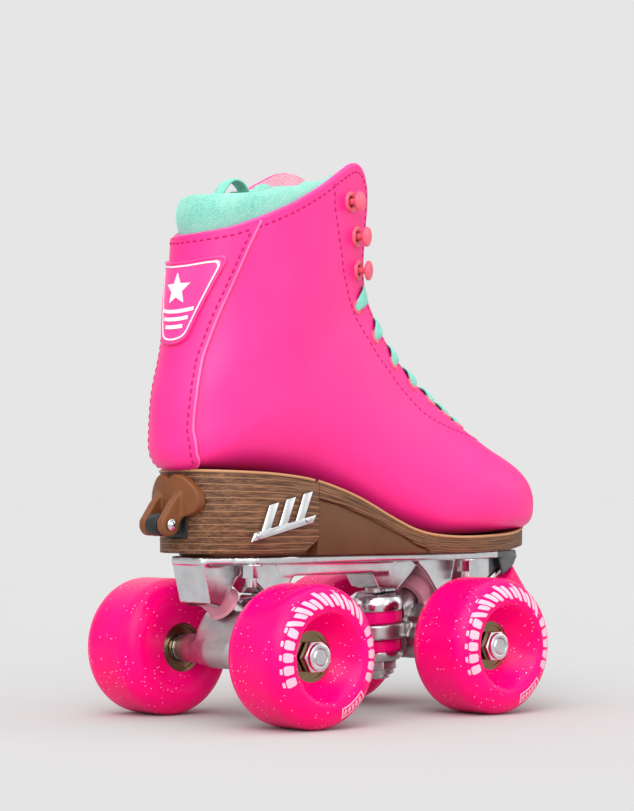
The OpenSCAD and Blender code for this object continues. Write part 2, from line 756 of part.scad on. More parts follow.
// Cupped washers above and below the cushions.
module retainers(front) {
    color(METAL)
        at_kingpin(front)
            union() {
                rotate_extrude()
                    polygon([[kingpin_d / 2 + 0.1, 11.6], [11.9, 11.6], [11.9, 9.6], [12.9, 9.6], [13.3, 13], [12.2, 16.4],
                             [9, 18.3], [kingpin_d / 2 + 0.1, 18.3]]);
                rotate_extrude()
                    polygon([[kingpin_d / 2 + 0.1, -13.8], [9.6, -13.8], [11.6, -11.5], [12, -9.4], [11.2, -9.4], [10.9, -10.2],
                             [kingpin_d / 2 + 0.1, -10.2]]);
            }
}

// The soft rings between which the hanger tilts.
module cushion(front, low, high, r) {
    color(WHEEL_PINK)
        at_kingpin(front)
            rotate_extrude()
                polygon([[kingpin_d / 2 + 0.2, low], [r - 0.8, low], [r, low + 1], [r, high - 1], [r - 0.8, high],
                         [kingpin_d / 2 + 0.2, high]]);
}

module pivot_cup(front) {
    color("#e8a0b8")
        at_pivot(front)
            rotate_extrude()
                polygon([[5, -9], [5, 1], [3.4, 4], [0, 5.2], [0, 6], [cup_d / 2, 6], [cup_d / 2, -8], [8.2, -9.4], [5.6, -9.6]]);
}

// Cast arm that carries the axle: it turns about the line from its ring to its ball.
module hanger(front) {
    color(METAL)
        difference() {
            union() {
                at_truck(front)
                    translate([0, 0, axle_z])
                        rotate([90, 0, 0])
                            rotate_extrude()
                                polygon([[0, -29.5], [6, -29.5], [6.5, -29], [6.5, -20], [8.2, -8], [8.2, 8], [6.5, 20],
                                         [6.5, 29], [6, 29.5], [0, 29.5]]);
                at_kingpin(front) cylinder(d = 27, h = 7, center = true);
                // Web from the ring to the axle bar.
                at_truck(front)
                    side_extrude([[-12, 32], [-12, 39], [-4, 40], [3, 36], [3, 28], [-5, 26.5]], 8);
                // Wide arm, narrower at its top, and neck up to the ball.
                at_truck(front)
                    intersection() {
                        side_extrude([[-4.6, 33], [-4, 43], [0.5, 49], [3.5, 46.5], [6, 40], [6.5, 30]], 20);
                        rotate([90, 0, 90])
                            linear_extrude(40, center = true)
                                polygon([[-16, 26], [16, 26], [16, 35], [11.5, 50], [-11.5, 50], [-16, 35]]);
                    }
                at_pivot(front) translate([0, 0, -22]) cylinder(r1 = 6, r2 = 3.4, h = 22);
                at_pivot(front) sphere(r = 4.6);
            }
            at_kingpin(front) cylinder(d = 13.5, h = 30, center = true);
            at_truck(front)
                translate([0, 0, axle_z]) rotate([90, 0, 0]) cylinder(d = axle_d + 0.04, h = 80, center = true);
            // Room above and below the ring for the cushions.
            at_kingpin(front) translate([0, 0, 3.5]) cylinder(d = 27.4, h = 16);
            at_kingpin(front) translate([0, 0, -20.5]) cylinder(d = 27, h = 17);
        }
}

// Places along the axle, as distances from the middle of the skate.
inner_bearing = half_track - 17.9;
outer_bearing = half_track - 0.9;
bearing_w = 7;
axle_tip = half_track + 12.1;

module axle(front) {
    color(METAL)
        at_truck(front)
            translate([0, 0, axle_z])
                rotate([90, 0, 0])
                    rotate_extrude()
                        polygon([[0, -axle_tip], [axle_d / 2 - 0.8, -axle_tip], [axle_d / 2, 0.8 - axle_tip],
                                 [axle_d / 2, axle_tip - 0.8], [axle_d / 2 - 0.8, axle_tip], [0, axle_tip]]);
}

// A ring on the axle, from distance a to distance b, on both sides.
module axle_rings(front, a, b, r_in, r_out) {
    at_truck(front)
        for (side = [-1, 1])
            translate([0, side * (a + b) / 2, axle_z])
                rotate([90, 0, 0])
                    difference() {
                        cylinder(r = r_out, h = b - a, center = true);
                        cylinder(r = r_in, h = b, center = true);
                    }
}

module axle_nuts(front) {
    nut_in = outer_bearing + bearing_w + 0.3;
    color(METAL)
        difference() {
            union() {
                axle_rings(front, nut_in, nut_in + 5.4, axle_d / 2, 5.9);
                at_truck(front)
                    for (side = [-1, 1])
                        translate([0, side * (nut_in + 1.8), axle_z])
                            rotate([90, 0, 0]) cylinder(r = 7.4, h = 3.6, center = true, $fn = 6);
            }
            at_truck(front)
                translate([0, 0, axle_z]) rotate([90, 0, 0]) cylinder(d = axle_d, h = 200, center = true);
        }
}

// Washers beside each wheel and the spacers between its two bearings.
module axle_spacers(front) {
    color(METAL)
        union() {
            axle_rings(front, 29.6, inner_bearing, axle_d / 2 + 0.02, 5.8);
            axle_rings(front, inner_bearing + bearing_w, outer_bearing, axle_d / 2 + 0.02, 5.3);
            axle_rings(front, outer_bearing + bearing_w, outer_bearing + bearing_w + 0.3, axle_d / 2 + 0.02, 5.8);
        }
}

module inner_races(front) {
    color(METAL)
        union() {
            axle_rings(front, inner_bearing, inner_bearing + bearing_w, axle_d / 2 + 0.02, 5.95);
            axle_rings(front, outer_bearing, outer_bearing + bearing_w, axle_d / 2 + 0.02, 5.95);
        }
}

// ---- Wheels -------------------------------------------------------------------------------

// Along a wheel's axle, with z = 0 at the wheel's middle and +z pointing away from the skate.
module at_wheel(front, left) {
    translate([front ? front_axle_x : rear_axle_x, left ? half_track : -half_track, axle_z])
        rotate([left ? -90 : 90, 0, 0]) children();
}

bearing_places = [inner_bearing - half_track, outer_bearing - half_track];
bearing_r = 11;

module wheel(front, left) {
    r = wheel_d / 2;
    h = wheel_w / 2;
    color(WHEEL_PINK)
        at_wheel(front, left)
            rotate_extrude()
                polygon(concat(
                    [[9.2, bearing_places[0] + bearing_w], [bearing_r, bearing_places[0] + bearing_w], [bearing_r, -h + 0.6],
                     [bearing_r + 0.6, -h]],
                    arc([r - tread_r, tread_r - h], tread_r, -90, 0, 8),
                    arc([r - tread_r, h - tread_r], tread_r, 0, 78, 7),
                    [[19.8, h - 0.1], [18.6, h - 1.2], [13.4, bearing_places[1] + bearing_w + 2],
                     [11.6, bearing_places[1] + bearing_w + 0.8], [bearing_r, bearing_places[1] + bearing_w + 0.2],
                     [bearing_r, bearing_places[1]], [9.2, bearing_places[1]]]
                ));
}

// Outer races with their shields, and the balls between the races.
module bearings(front, left) {
    ball_count = 7;
    race_in = 9.4;
    color(METAL)
        at_wheel(front, left)
            for (z = bearing_places) translate([0, 0, z])
                union() {
                    rotate_extrude()
                        polygon([[race_in, 1.2], [6.3, 1.2], [6.3, 0.5], [race_in, 0.5], [race_in, 0], [bearing_r, 0],
                                 [bearing_r, bearing_w], [race_in, bearing_w], [race_in, 6.5], [6.3, 6.5], [6.3, 5.8],
                                 [race_in, 5.8]]);
                    for (i = [0 : ball_count - 1])
                        rotate([0, 0, i * 360 / ball_count])
                            translate([7.7, 0, bearing_w / 2]) rotate_extrude($fn = 24) polygon(arc([0, 0], 1.7, -90, 90));
                }
}

// ---- Nodes --------------------------------------------------------------------------------

plate();
mount_bolts();
mount_nuts();
sole_core();
toe_sole();
insole();
vamp();
quarters();
tongue();
lace();
eyelets();
lace_hooks();
liner();
cuff();
pull_loop();
size_rack();
lock_pawl();
kingpin(true);  // kingpin_front
kingpin(false);  // kingpin_rear
kingpin_nut(true);  // kingpin_nut_front
kingpin_nut(false);  // kingpin_nut_rear
retainers(true);  // retainers_front
retainers(false);  // retainers_rear
pivot_cup(true);  // pivot_cup_front
pivot_cup(false);  // pivot_cup_rear
cushion(true, 3.5, 11.5, 11.8);  // cushion_top_front
cushion(false, 3.5, 11.5, 11.8);  // cushion_top_rear
cushion(true, -10.1, -3.5, 10.8);  // cushion_bottom_front
cushion(false, -10.1, -3.5, 10.8);  // cushion_bottom_rear
toe_stop();
toe_stop_stem();
toe_stop_nut();
heel_block();
heel_counter();
heel_patch();
side_badges();
badge_rivets();
lever_bracket();
lever_pin();
heel_lever();
hanger(true);  // hanger_front
hanger(false);  // hanger_rear
axle(true);  // axle_front
axle(false);  // axle_rear
axle_nuts(true);  // axle_nuts_front
axle_nuts(false);  // axle_nuts_rear
axle_spacers(true);  // axle_spacers_front
axle_spacers(false);  // axle_spacers_rear
inner_races(true);  // inner_races_front
inner_races(false);  // inner_races_rear
wheel(true, true);  // wheel_front_left
wheel(true, false);  // wheel_front_right
wheel(false, true);  // wheel_rear_left
wheel(false, false);  // wheel_rear_right
bearings(true, true);  // bearings_front_left
bearings(true, false);  // bearings_front_right
bearings(false, true);  // bearings_rear_left
bearings(false, false);  // bearings_rear_right
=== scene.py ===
"""Quad roller skate: its looks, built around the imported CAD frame.

Points and profiles are in mm. What Blender reads as a setting, such as a bevel or a texture's size, is in metres.
"""

import math

import bmesh
import bpy
import numpy as np
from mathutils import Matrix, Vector
from mathutils.bvhtree import BVHTree


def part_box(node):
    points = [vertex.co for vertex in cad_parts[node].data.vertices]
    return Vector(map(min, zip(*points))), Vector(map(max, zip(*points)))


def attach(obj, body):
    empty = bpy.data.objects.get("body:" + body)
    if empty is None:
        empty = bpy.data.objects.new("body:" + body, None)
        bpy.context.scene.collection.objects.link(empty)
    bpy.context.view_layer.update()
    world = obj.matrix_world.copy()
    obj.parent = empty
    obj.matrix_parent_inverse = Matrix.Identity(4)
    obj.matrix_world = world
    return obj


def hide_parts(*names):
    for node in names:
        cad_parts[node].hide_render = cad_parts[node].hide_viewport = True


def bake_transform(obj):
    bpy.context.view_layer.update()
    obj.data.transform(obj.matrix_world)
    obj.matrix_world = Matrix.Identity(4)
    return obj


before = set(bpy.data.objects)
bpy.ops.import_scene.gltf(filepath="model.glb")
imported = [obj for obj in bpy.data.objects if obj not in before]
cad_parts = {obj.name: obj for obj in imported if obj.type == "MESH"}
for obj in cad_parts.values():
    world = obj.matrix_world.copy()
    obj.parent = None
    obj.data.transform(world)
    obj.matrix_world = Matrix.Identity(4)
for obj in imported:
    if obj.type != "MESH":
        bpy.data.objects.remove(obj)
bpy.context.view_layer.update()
link = bpy.context.scene.collection.objects.link
MM = 0.001

# ---- Camera ----

CAMERA_AT = Vector((-0.76783, -0.81357, 0.10021))
CAMERA_AIM = Vector((-0.016574, 0, 0.140845))

camera_data = bpy.data.cameras.new("camera")
camera_data.lens = 107.08
camera_data.clip_end = 100
camera = bpy.data.objects.new("camera", camera_data)
link(camera)
camera.location = CAMERA_AT
camera.rotation_euler = (CAMERA_AIM - CAMERA_AT).to_track_quat("-Z", "Y").to_euler()
bpy.context.scene.camera = camera
bpy.context.scene.view_settings.view_transform = "Standard"


# ---- Shader helpers ----


def settle(thing, settings):
    """Gives a node or a modifier its settings."""
    for key, value in settings.items():
        setattr(thing, key, value)
    return thing


class Nodes:
    """Helpers that add nodes to a node tree."""

    def __init__(self, tree):
        self.tree = tree

    def node(self, kind, inputs=(), **settings):
        """A new node. An input, by its name or number, takes a plain value or another node's output."""
        n = settle(self.tree.nodes.new(kind), settings)
        for key, x in dict(inputs).items():
            if isinstance(x, bpy.types.NodeSocket):
                self.tree.links.new(x, n.inputs[key])
            else:
                n.inputs[key].default_value = x
        return n

    def maths(self, what, a, b=0, clamp=False):
        return self.node("ShaderNodeMath", {0: a, 1: b}, operation=what, use_clamp=clamp).outputs[0]

    def plus(self, a, b):
        return self.maths("ADD", a, b)

    def times(self, a, b):
        return self.maths("MULTIPLY", a, b)


class Shader(Nodes):
    """A Principled material with helpers that add texture nodes in object space."""

    def __init__(self, name, color, rough, **sockets):
        self.mat = bpy.data.materials.new(name)
        self.mat.use_nodes = True
        super().__init__(self.mat.node_tree)
        self.bsdf = self.tree.nodes["Principled BSDF"]
        self.put("Base Color", (*color, 1))
        self.put("Roughness", rough)
        for key, value in sockets.items():
            self.put(key.replace("_", " "), value)
        self.place = self.node("ShaderNodeTexCoord").outputs["Object"]

    def put(self, socket, value):
        self.bsdf.inputs[socket].default_value = value

    def noise(self, size, detail=3, rough=0.5, place=None):
        """Noise whose blobs are about size metres across."""
        return self.node("ShaderNodeTexNoise", {"Vector": place or self.place, "Scale": 1 / size, "Detail": detail,
                                                "Roughness": rough}).outputs["Fac"]

    def ramp(self, fac, *stops):
        n = self.node("ShaderNodeValToRGB", {0: fac})
        points = n.color_ramp.elements
        while len(points) < len(stops):
            points.new(0.5)
        for e, (at, color) in zip(points, stops):
            e.position = at
            e.color = (*color, 1) if hasattr(color, "__len__") else (color, color, color, 1)
        return n.outputs[0]

    def mix(self, fac, a, b):
        a, b = (x if isinstance(x, bpy.types.NodeSocket) else (*x, 1) for x in (a, b))
        return self.node("ShaderNodeMix", {0: fac, 6: a, 7: b}, data_type="RGBA").outputs[2]

    def color(self, out):
        self.tree.links.new(out, self.bsdf.inputs["Base Color"])

    def rough(self, out):
        self.tree.links.new(out, self.bsdf.inputs["Roughness"])

    def bump(self, height, depth, strength=1):
        """Bump whose full height is about depth metres."""
        inputs = {"Strength": strength, "Distance": depth, "Height": height}
        previous = self.bsdf.inputs["Normal"]
        if previous.is_linked:
            inputs["Normal"] = previous.links[0].from_socket
        self.tree.links.new(self.node("ShaderNodeBump", inputs).outputs[0], previous)

    def blotches(self, size, a, b):
        """Colour that drifts between a and b in soft blotches."""
        self.color(self.mix(self.ramp(self.noise(size, 2), (0.3, 0), (0.7, 1)), a, b))


# ---- Materials ----


def leather(name, a, b, rough=0.47):
    s = Shader(name, a, rough, Coat_Weight=0.08, Coat_Roughness=0.35, Specular_IOR_Level=0.42)
    s.blotches(0.03, a, b)
    s.bump(s.noise(0.00045, 3, 0.6), 0.00004, 0.5)
    s.bump(s.noise(0.006, 2), 0.00012, 0.5)
    s.rough(s.ramp(s.noise(0.0009, 2), (0.3, rough - 0.05), (0.7, rough + 0.06)))
    return s.mat


def cloth(name, a, b, thread, sheen=0.3, rough=0.85):
    s = Shader(name, a, rough, Sheen_Weight=sheen, Sheen_Roughness=0.4)
    wave = {"Vector": s.place, "Scale": 0.314 / thread, "Distortion": 0.4}
    weave = s.times(*(s.node("ShaderNodeTexWave", wave, bands_direction=way).outputs["Fac"]
                      for way in ("Z", "DIAGONAL")))
    s.color(s.mix(s.ramp(s.plus(weave, s.noise(0.004, 2)), (0.3, 0), (1.1, 1)), b, a))
    s.bump(weave, 0.00015, 0.6)
    return s.mat


def velvet(name, a, b, light):
    s = Shader(name, a, 0.9, Sheen_Weight=0.9, Sheen_Roughness=0.35, Sheen_Tint=(*light, 1))
    base = s.mix(s.ramp(s.noise(0.012, 3), (0.35, 0), (0.65, 1)), b, a)
    s.color(s.mix(s.ramp(s.noise(0.0007, 2, 0.7), (0.35, 0), (0.7, 0.55)), base, light))
    s.bump(s.noise(0.0006, 3, 0.7), 0.0002, 0.6)
    s.bump(s.noise(0.009, 2), 0.0006, 0.5)
    return s.mat


def metal(name, color, rough, grain=0, size=0.0006, spread=0.06):
    s = Shader(name, color, rough, Metallic=1)
    s.rough(s.ramp(s.noise(0.004, 3), (0.25, max(rough - spread, 0.03)), (0.75, rough + spread)))
    s.blotches(0.007, color, tuple(c * 0.82 for c in color))
    if grain:
        s.bump(s.noise(size, 3, 0.6), grain, 0.6)
    return s.mat


def plastic(name, a, b, rough=0.42, grain=0.00005):
    s = Shader(name, a, rough, Specular_IOR_Level=0.35)
    s.blotches(0.02, a, b)
    s.bump(s.noise(0.0007, 2), grain, 0.5)
    s.rough(s.ramp(s.noise(0.003, 3), (0.3, rough - 0.04), (0.7, rough + 0.08)))
    return s.mat


SPECK_PITCH = 0.00125


def urethane(name, a, b, glitter=True):
    s = Shader(name, a, 0.24, Subsurface_Weight=0.06, Subsurface_Scale=0.003, Subsurface_Radius=(1, 0.1, 0.35),
               Specular_IOR_Level=0.13)
    base = s.mix(s.ramp(s.noise(0.02, 2), (0.3, 0), (0.7, 1)), b, a)
    if glitter:
        v = s.node("ShaderNodeTexVoronoi", {"Vector": s.place, "Scale": 1 / SPECK_PITCH})
        near = s.ramp(v.outputs["Distance"], (0.13, 1), (0.17, 0))
        pick = s.node("ShaderNodeSeparateColor", {0: v.outputs["Color"]}).outputs[0]
        dense = s.ramp(s.noise(0.013, 2), (0.42, 0), (0.68, 0.42))
        chosen = s.maths("LESS_THAN", pick, s.plus(dense, 0.04))
        s.color(s.mix(s.times(near, chosen), base, (1, 0.82, 0.9)))
    else:
        s.color(base)
        s.bump(s.noise(0.002, 2), 0.00004, 0.5)
    return s.mat


# The top of the wood as a curve of [x, z] in mm, from the heel to the toe.
WOOD_TOP = [(-111, 111), (-90.5, 110), (-66.5, 108.7), (-47.5, 106.6), (-31.5, 102.9), (-15.5, 97.5),
            (4.5, 88), (13.5, 84), (24.5, 81.4), (41.5, 80.2), (64.5, 80.5), (84.5, 81.7), (113, 85.6)]
# In mm: the heights between which that curve lies, and the sole's back end and length.
WOOD_LOW, WOOD_HIGH = 73, 112
HEEL_X, SOLE_LENGTH = -111, 224
# In metres: one layer, the depth over which layers turn level, and the height that level ones count from.
LAYER, LAYERED_DEPTH, LEVEL_FROM = 0.0028, 0.020, 0.109


def wood(name):
    """Stacked layers that follow the sole's top, with pores along the grain."""
    s = Shader(name, (0.12, 0.06, 0.035), 0.55, Specular_IOR_Level=0.25)
    x, y, z = s.node("ShaderNodeSeparateXYZ", {0: s.place}).outputs
    share = s.maths("DIVIDE", s.plus(x, -HEEL_X * MM), SOLE_LENGTH * MM)
    curve = s.node("ShaderNodeFloatCurve", {"Value": share})
    points = curve.mapping.curves[0].points
    while len(points) < len(WOOD_TOP):
        points.new(0.5, 0.5)
    for p, (at, height) in zip(points, WOOD_TOP):
        p.location = ((at - HEEL_X) / SOLE_LENGTH, (height - WOOD_LOW) / (WOOD_HIGH - WOOD_LOW))
    curve.mapping.update()
    top = s.plus(s.times(curve.outputs[0], (WOOD_HIGH - WOOD_LOW) * MM), WOOD_LOW * MM)
    below = s.maths("SUBTRACT", top, z)
    # Near the top a layer lies a fixed distance under it; lower down the layers are level.
    level = s.maths("SUBTRACT", LEVEL_FROM, z)
    blend = s.node("ShaderNodeMix", {0: s.maths("DIVIDE", below, LAYERED_DEPTH, clamp=True), 2: below, 3: level})
    depth = s.plus(blend.outputs[0], s.times(s.noise(0.03, 2), 0.0007))
    within = s.maths("FRACT", s.maths("DIVIDE", depth, LAYER))
    along = s.node("ShaderNodeCombineXYZ", {0: s.times(x, 0.05), 1: s.times(y, 0.25), 2: depth}).outputs[0]
    fibre, streak = s.noise(0.00045, 4, 0.65, along), s.noise(0.0015, 3, 0.6, along)
    base = s.ramp(s.plus(s.times(fibre, 0.55), s.times(streak, 0.45)),
                  (0.36, (0.04, 0.015, 0.008)), (0.5, (0.12, 0.052, 0.025)), (0.64, (0.27, 0.125, 0.06)))
    glue = s.ramp(within, (0, 1), (0.1, 0), (0.88, 0), (1, 0.9))
    s.color(s.mix(s.times(glue, 0.75), base, (0.42, 0.22, 0.11)))
    s.bump(glue, 0.00018, 0.7)
    s.bump(fibre, 0.00015, 0.7)
    return s.mat


PINK = leather("pink_leather", (0.93, 0.018, 0.25), (0.9, 0.011, 0.232))
PINK_TRIM = leather("pink_trim", (0.94, 0.05, 0.31), (0.88, 0.03, 0.26), 0.4)
# Lighter pink for the beads along the heel counter's edges: painted highlight where the overlay's cut edge catches the
# light.
EDGE_HIGHLIGHT_PINK = leather("pink_edge_painted_highlight", (0.97, 0.15, 0.42), (0.92, 0.1, 0.36), 0.35)
THREAD = cloth("pink_thread", (0.56, 0, 0.15), (0.46, 0, 0.11), 0.0004, 0)
LINING = cloth("pale_lining", (0.85, 0.42, 0.52), (0.7, 0.3, 0.4), 0.0009)
VELVET = velvet("mint_velvet", (0.2, 0.54, 0.43), (0.12, 0.45, 0.35), (0.44, 0.75, 0.65))
LACE = cloth("mint_lace", (0.26, 0.7, 0.56), (0.12, 0.46, 0.37), 0.0006, 0.3)
FOAM = cloth("footbed_cloth", (0.6, 0.6, 0.6), (0.45, 0.45, 0.47), 0.0012)
CORAL = plastic("coral_lacquer", (0.86, 0.13, 0.2), (0.8, 0.1, 0.17), 0.25, 0.00002)
PRINT = plastic("white_print", (0.85, 0.5, 0.6), (0.8, 0.42, 0.55), 0.35, 0.00001)
WHITE = plastic("white_relief", (0.85, 0.8, 0.82), (0.8, 0.74, 0.77), 0.4, 0.00001)
WOOD = wood("stacked_wood")
BROWN = plastic("brown_plastic", (0.118, 0.04, 0.011), (0.095, 0.03, 0.008), 0.42)
TAN = plastic("tan_plastic", (0.19, 0.06, 0.016), (0.155, 0.046, 0.012), 0.42)
PALE_EDGE = plastic("pale_edge", (0.5, 0.27, 0.13), (0.42, 0.22, 0.1), 0.5)
BLACK = plastic("black_plastic", (0.012, 0.012, 0.012), (0.02, 0.02, 0.02), 0.45)
CAST = metal("cast_aluminium", (0.56, 0.55, 0.56), 0.34, 0.00005, 0.0007)
POLISHED = metal("polished_aluminium", (0.68, 0.68, 0.7), 0.22)
# Darker metal for the plate's nose: painted shade on faces that turn away from the light.
NOSE_PAINTED_SHADE = metal("nose_painted_shade", (0.16, 0.16, 0.17), 0.45, 0.00006, 0.0007)
STEEL = metal("plated_steel", (0.7, 0.7, 0.72), 0.16)
SATIN = metal("satin_steel", (0.6, 0.6, 0.62), 0.32, 0.00002, 0.0005)
BRONZE = metal("bronze_shield", (0.27, 0.18, 0.1), 0.14)
WHEEL = urethane("pink_urethane", (1, 0.001, 0.19), (0.96, 0, 0.15))
CUSHION = urethane("pink_cushion", (0.92, 0.004, 0.2), (0.85, 0.002, 0.16), False)
CUP = plastic("cup_urethane", (0.75, 0.35, 0.42), (0.68, 0.28, 0.36), 0.35)
# Near-black for holes and slots: painted shade inside them.
HOLE_PAINTED_SHADE = plastic("hole_painted_shade", (0.03, 0.008, 0.012), (0.02, 0.005, 0.008), 0.6)


# ---- Mesh helpers ----


def paint(mesh, mat):
    mesh.materials.clear()
    mesh.materials.append(mat)


def dress(ob, mat, slot, body=None, stands_for=(), smooth=60):
    """Paints a piece, smooths its shading and hides the CAD nodes it stands for: body is one CAD body to hang it on, or
    None for a boot piece, which is left unattached.
    """
    paint(ob.data, mat)
    ob.data.shade_smooth()
    ob.data.set_sharp_from_angle(angle=math.radians(smooth))
    if stands_for:
        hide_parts(*stands_for)
    if body:
        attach(ob, body)
    else:
        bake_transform(ob)
    return ob


def turns(n):
    return [2 * math.pi * i / n for i in range(n)]


class Parts:
    """Collects the points, in mm, and faces of one piece made of several closed bits."""

    def __init__(self):
        self.verts, self.faces = [], []

    def put(self, verts, faces):
        n = len(self.verts)
        self.verts.extend(tuple(map(float, v)) for v in verts)
        self.faces.extend(tuple(int(i) + n for i in f) for f in faces)

    def tube(self, rings, closed=False):
        """Rings of the same number of points, joined in order and capped at both ends."""
        m, k = len(rings[0]), len(rings)
        verts = [p for ring in rings for p in ring]
        faces = [(i * m + j, i * m + (j + 1) % m, (i + 1) % k * m + (j + 1) % m, (i + 1) % k * m + j)
                 for i in range(k if closed else k - 1) for j in range(m)]
        if not closed:
            faces += [tuple(range(m))[::-1], tuple((k - 1) * m + j for j in range(m))]
        self.put(verts, faces)

    def sheet(self, outer, inner):
        """A thick sheet between two grids of points of the same size."""
        at = np.arange(len(outer) * len(outer[0])).reshape(len(outer), -1)
        n, faces = at.size, []
        for a, b, c, d in zip(at[:-1, :-1].flat, at[:-1, 1:].flat, at[1:, 1:].flat, at[1:, :-1].flat):
            faces += [(a, b, c, d), (n + a, n + d, n + c, n + b)]
        for line in (at[0], at[:, -1]):
            faces += [(a, n + a, n + b, b) for a, b in zip(line, line[1:])]
        for line in (at[-1], at[:, 0]):
            faces += [(a, b, n + b, n + a) for a, b in zip(line, line[1:])]
        self.put([p for g in (outer, inner) for row in g for p in row], faces)

    def lathe(self, profile, place, steps=48):
        """A closed profile of (r, h) points turned about an axis; place maps (x, y, h) to the frame."""
        self.tube([[place((r * math.cos(a), r * math.sin(a), h)) for a in turns(steps)] for r, h in profile],
                  closed=profile[0][0] > 0 and profile[-1][0] > 0)

    def mesh(self, name):
        mesh = bpy.data.meshes.new(name)
        mesh.from_pydata([tuple(c * MM for c in v) for v in self.verts], [], self.faces)
        bm = bmesh.new()
        bm.from_mesh(mesh)
        bmesh.ops.recalc_face_normals(bm, faces=bm.faces)
        bm.to_mesh(mesh)
        bm.free()
        ob = bpy.data.objects.new(name, mesh)
        link(ob)
        return ob

    def piece(self, name, *looks, **more):
        return dress(self.mesh(name), *looks, **more)


def place_on(origin, axis, up=(0, 0, 1)):
    """Maps local points to the frame, with local z along axis."""
    z = Vector(axis).normalized()
    x = (Vector(up) - z * Vector(up).dot(z)).normalized()
    y = z.cross(x)
    o = Vector(origin)
    return lambda p: o + x * p[0] + y * p[1] + z * p[2]


def rounded(node, mat, slot, body, bevel=0, voxel=0, passes=0, smooth=50):
    """A copy of a CAD node with its edges rounded: by a bevel, or by a fine remesh that is then smoothed."""
    ob = bpy.data.objects.new(node + "_finish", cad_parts[node].data.copy())
    link(ob)
    bm = bmesh.new()
    bm.from_mesh(ob.data)
    bmesh.ops.remove_doubles(bm, verts=bm.verts, dist=1e-5)
    if bevel:
        bmesh.ops.dissolve_limit(bm, angle_limit=math.radians(1), verts=bm.verts, edges=bm.edges)
    bm.to_mesh(ob.data)
    bm.free()
    for a in ("custom_normal", "sharp_edge", "sharp_face"):
        if a in ob.data.attributes:
            ob.data.attributes.remove(ob.data.attributes[a])
    if bevel:
        modify(ob, "BEVEL", width=bevel, segments=2, limit_method="ANGLE", angle_limit=math.radians(35),
               miter_outer="MITER_ARC", use_clamp_overlap=True)
    if voxel:
        modify(ob, "REMESH", mode="VOXEL", voxel_size=voxel)
        modify(ob, "SMOOTH", factor=0.5, iterations=passes)
    bake(ob)
    return dress(ob, mat, slot, body, (node,), smooth)


def modify(ob, kind, **settings):
    return settle(ob.modifiers.new(kind, kind), settings)


def bake(ob):
    """Applies every modifier of ob to its mesh."""
    graph = bpy.context.evaluated_depsgraph_get()
    final = bpy.data.meshes.new_from_object(ob.evaluated_get(graph))
    ob.modifiers.clear()
    ob.data = final


# ---- Boot form: the same surface as in the CAD, in mm and degrees ----

# Each station is one slanting section of the boot, from the toe to the collar:
# front x, front z, back x, back z, half width, widest place, front and back fullness.
STATIONS = np.array([
    [109, 97, 108.5, 88, 1.5, 0.45, 2, 2.2],
    [108, 103, 107.5, 84.5, 13, 0.42, 2, 2.4],
    [105, 110, 103.5, 82.9, 22.5, 0.4, 2, 2.8],
    [98.5, 116, 96.5, 82.2, 30, 0.38, 2.1, 3.2],
    [88.3, 121, 85, 82, 35, 0.36, 2.1, 3.4],
    [77.5, 126, 69, 81, 37.5, 0.34, 2.1, 3.4],
    [66.5, 133.5, 49.5, 80.6, 37.5, 0.32, 2, 3.4],
    [53.5, 142.5, 29.5, 81.2, 36, 0.3, 1.9, 3.4],
    [39, 154, 8.5, 87, 33.5, 0.3, 1.85, 3.2],
    [27, 166, -14.5, 97.5, 31.5, 0.32, 1.8, 3],
    [17.5, 178, -38.5, 105.3, 30.5, 0.36, 1.85, 2.8],
    [11.5, 189, -67, 109.8, 30.5, 0.4, 1.9, 2.8],
    [9, 198, -96, 111.2, 30.5, 0.44, 1.9, 2.6],
    [8.5, 206, -105.5, 114.5, 30.2, 0.45, 1.9, 2.3],
    [8.5, 214, -107.5, 126, 30.2, 0.46, 1.9, 2.1],
    [9, 222, -106, 142, 30.2, 0.47, 1.9, 2.1],
    [9.5, 231, -101.5, 160, 30.2, 0.48, 1.9, 2.1],
    [10, 240, -98, 182, 30.2, 0.49, 1.9, 2.1],
    [9.5, 250, -96, 204, 30.2, 0.5, 1.9, 2.1],
    [8.5, 262, -94.5, 226, 30.2, 0.5, 1.9, 2.1]])
THROAT_U = 5.3
SOLE_LINE = 111.9
SKIN = 2.2
COLLAR = np.array([
    [-97, 212.6], [-85, 215.6], [-70.5, 221.5], [-57.5, 227.3], [-42, 235.7], [-30, 243], [-20, 248.4],
    [-14, 249.6], [-9, 248.4], [-5, 245.4], [-2, 241], [0, 235], [12, 218]])
COUNTER_EDGE = np.array([
    [108, -95], [113, -98], [118, -101], [128, -102.2], [136, -101.6], [147, -100], [159, -97], [178, -90.7],
    [189, -86.3], [200, -82], [210, -78], [217, -74.8], [230, -68]])


def between(a, b, c, d, t):
    """The share t of the way from b to c, on a smooth curve through all four."""
    return 0.5 * (2 * b + (c - a) * t + (2 * a - 5 * b + 4 * c - d) * t * t + (3 * b - a - 3 * c + d) * t ** 3)


def spline(u):
    """Row of STATIONS at u, on a smooth curve through them."""
    u = np.asarray(u, float)
    last = len(STATIONS) - 1
    i = np.clip(np.floor(u).astype(int), 0, last - 1)
    t = (u - i)[..., None]
    return between(STATIONS[np.maximum(i - 1, 0)], STATIONS[i], STATIONS[i + 1], STATIONS[np.minimum(i + 2, last)], t)


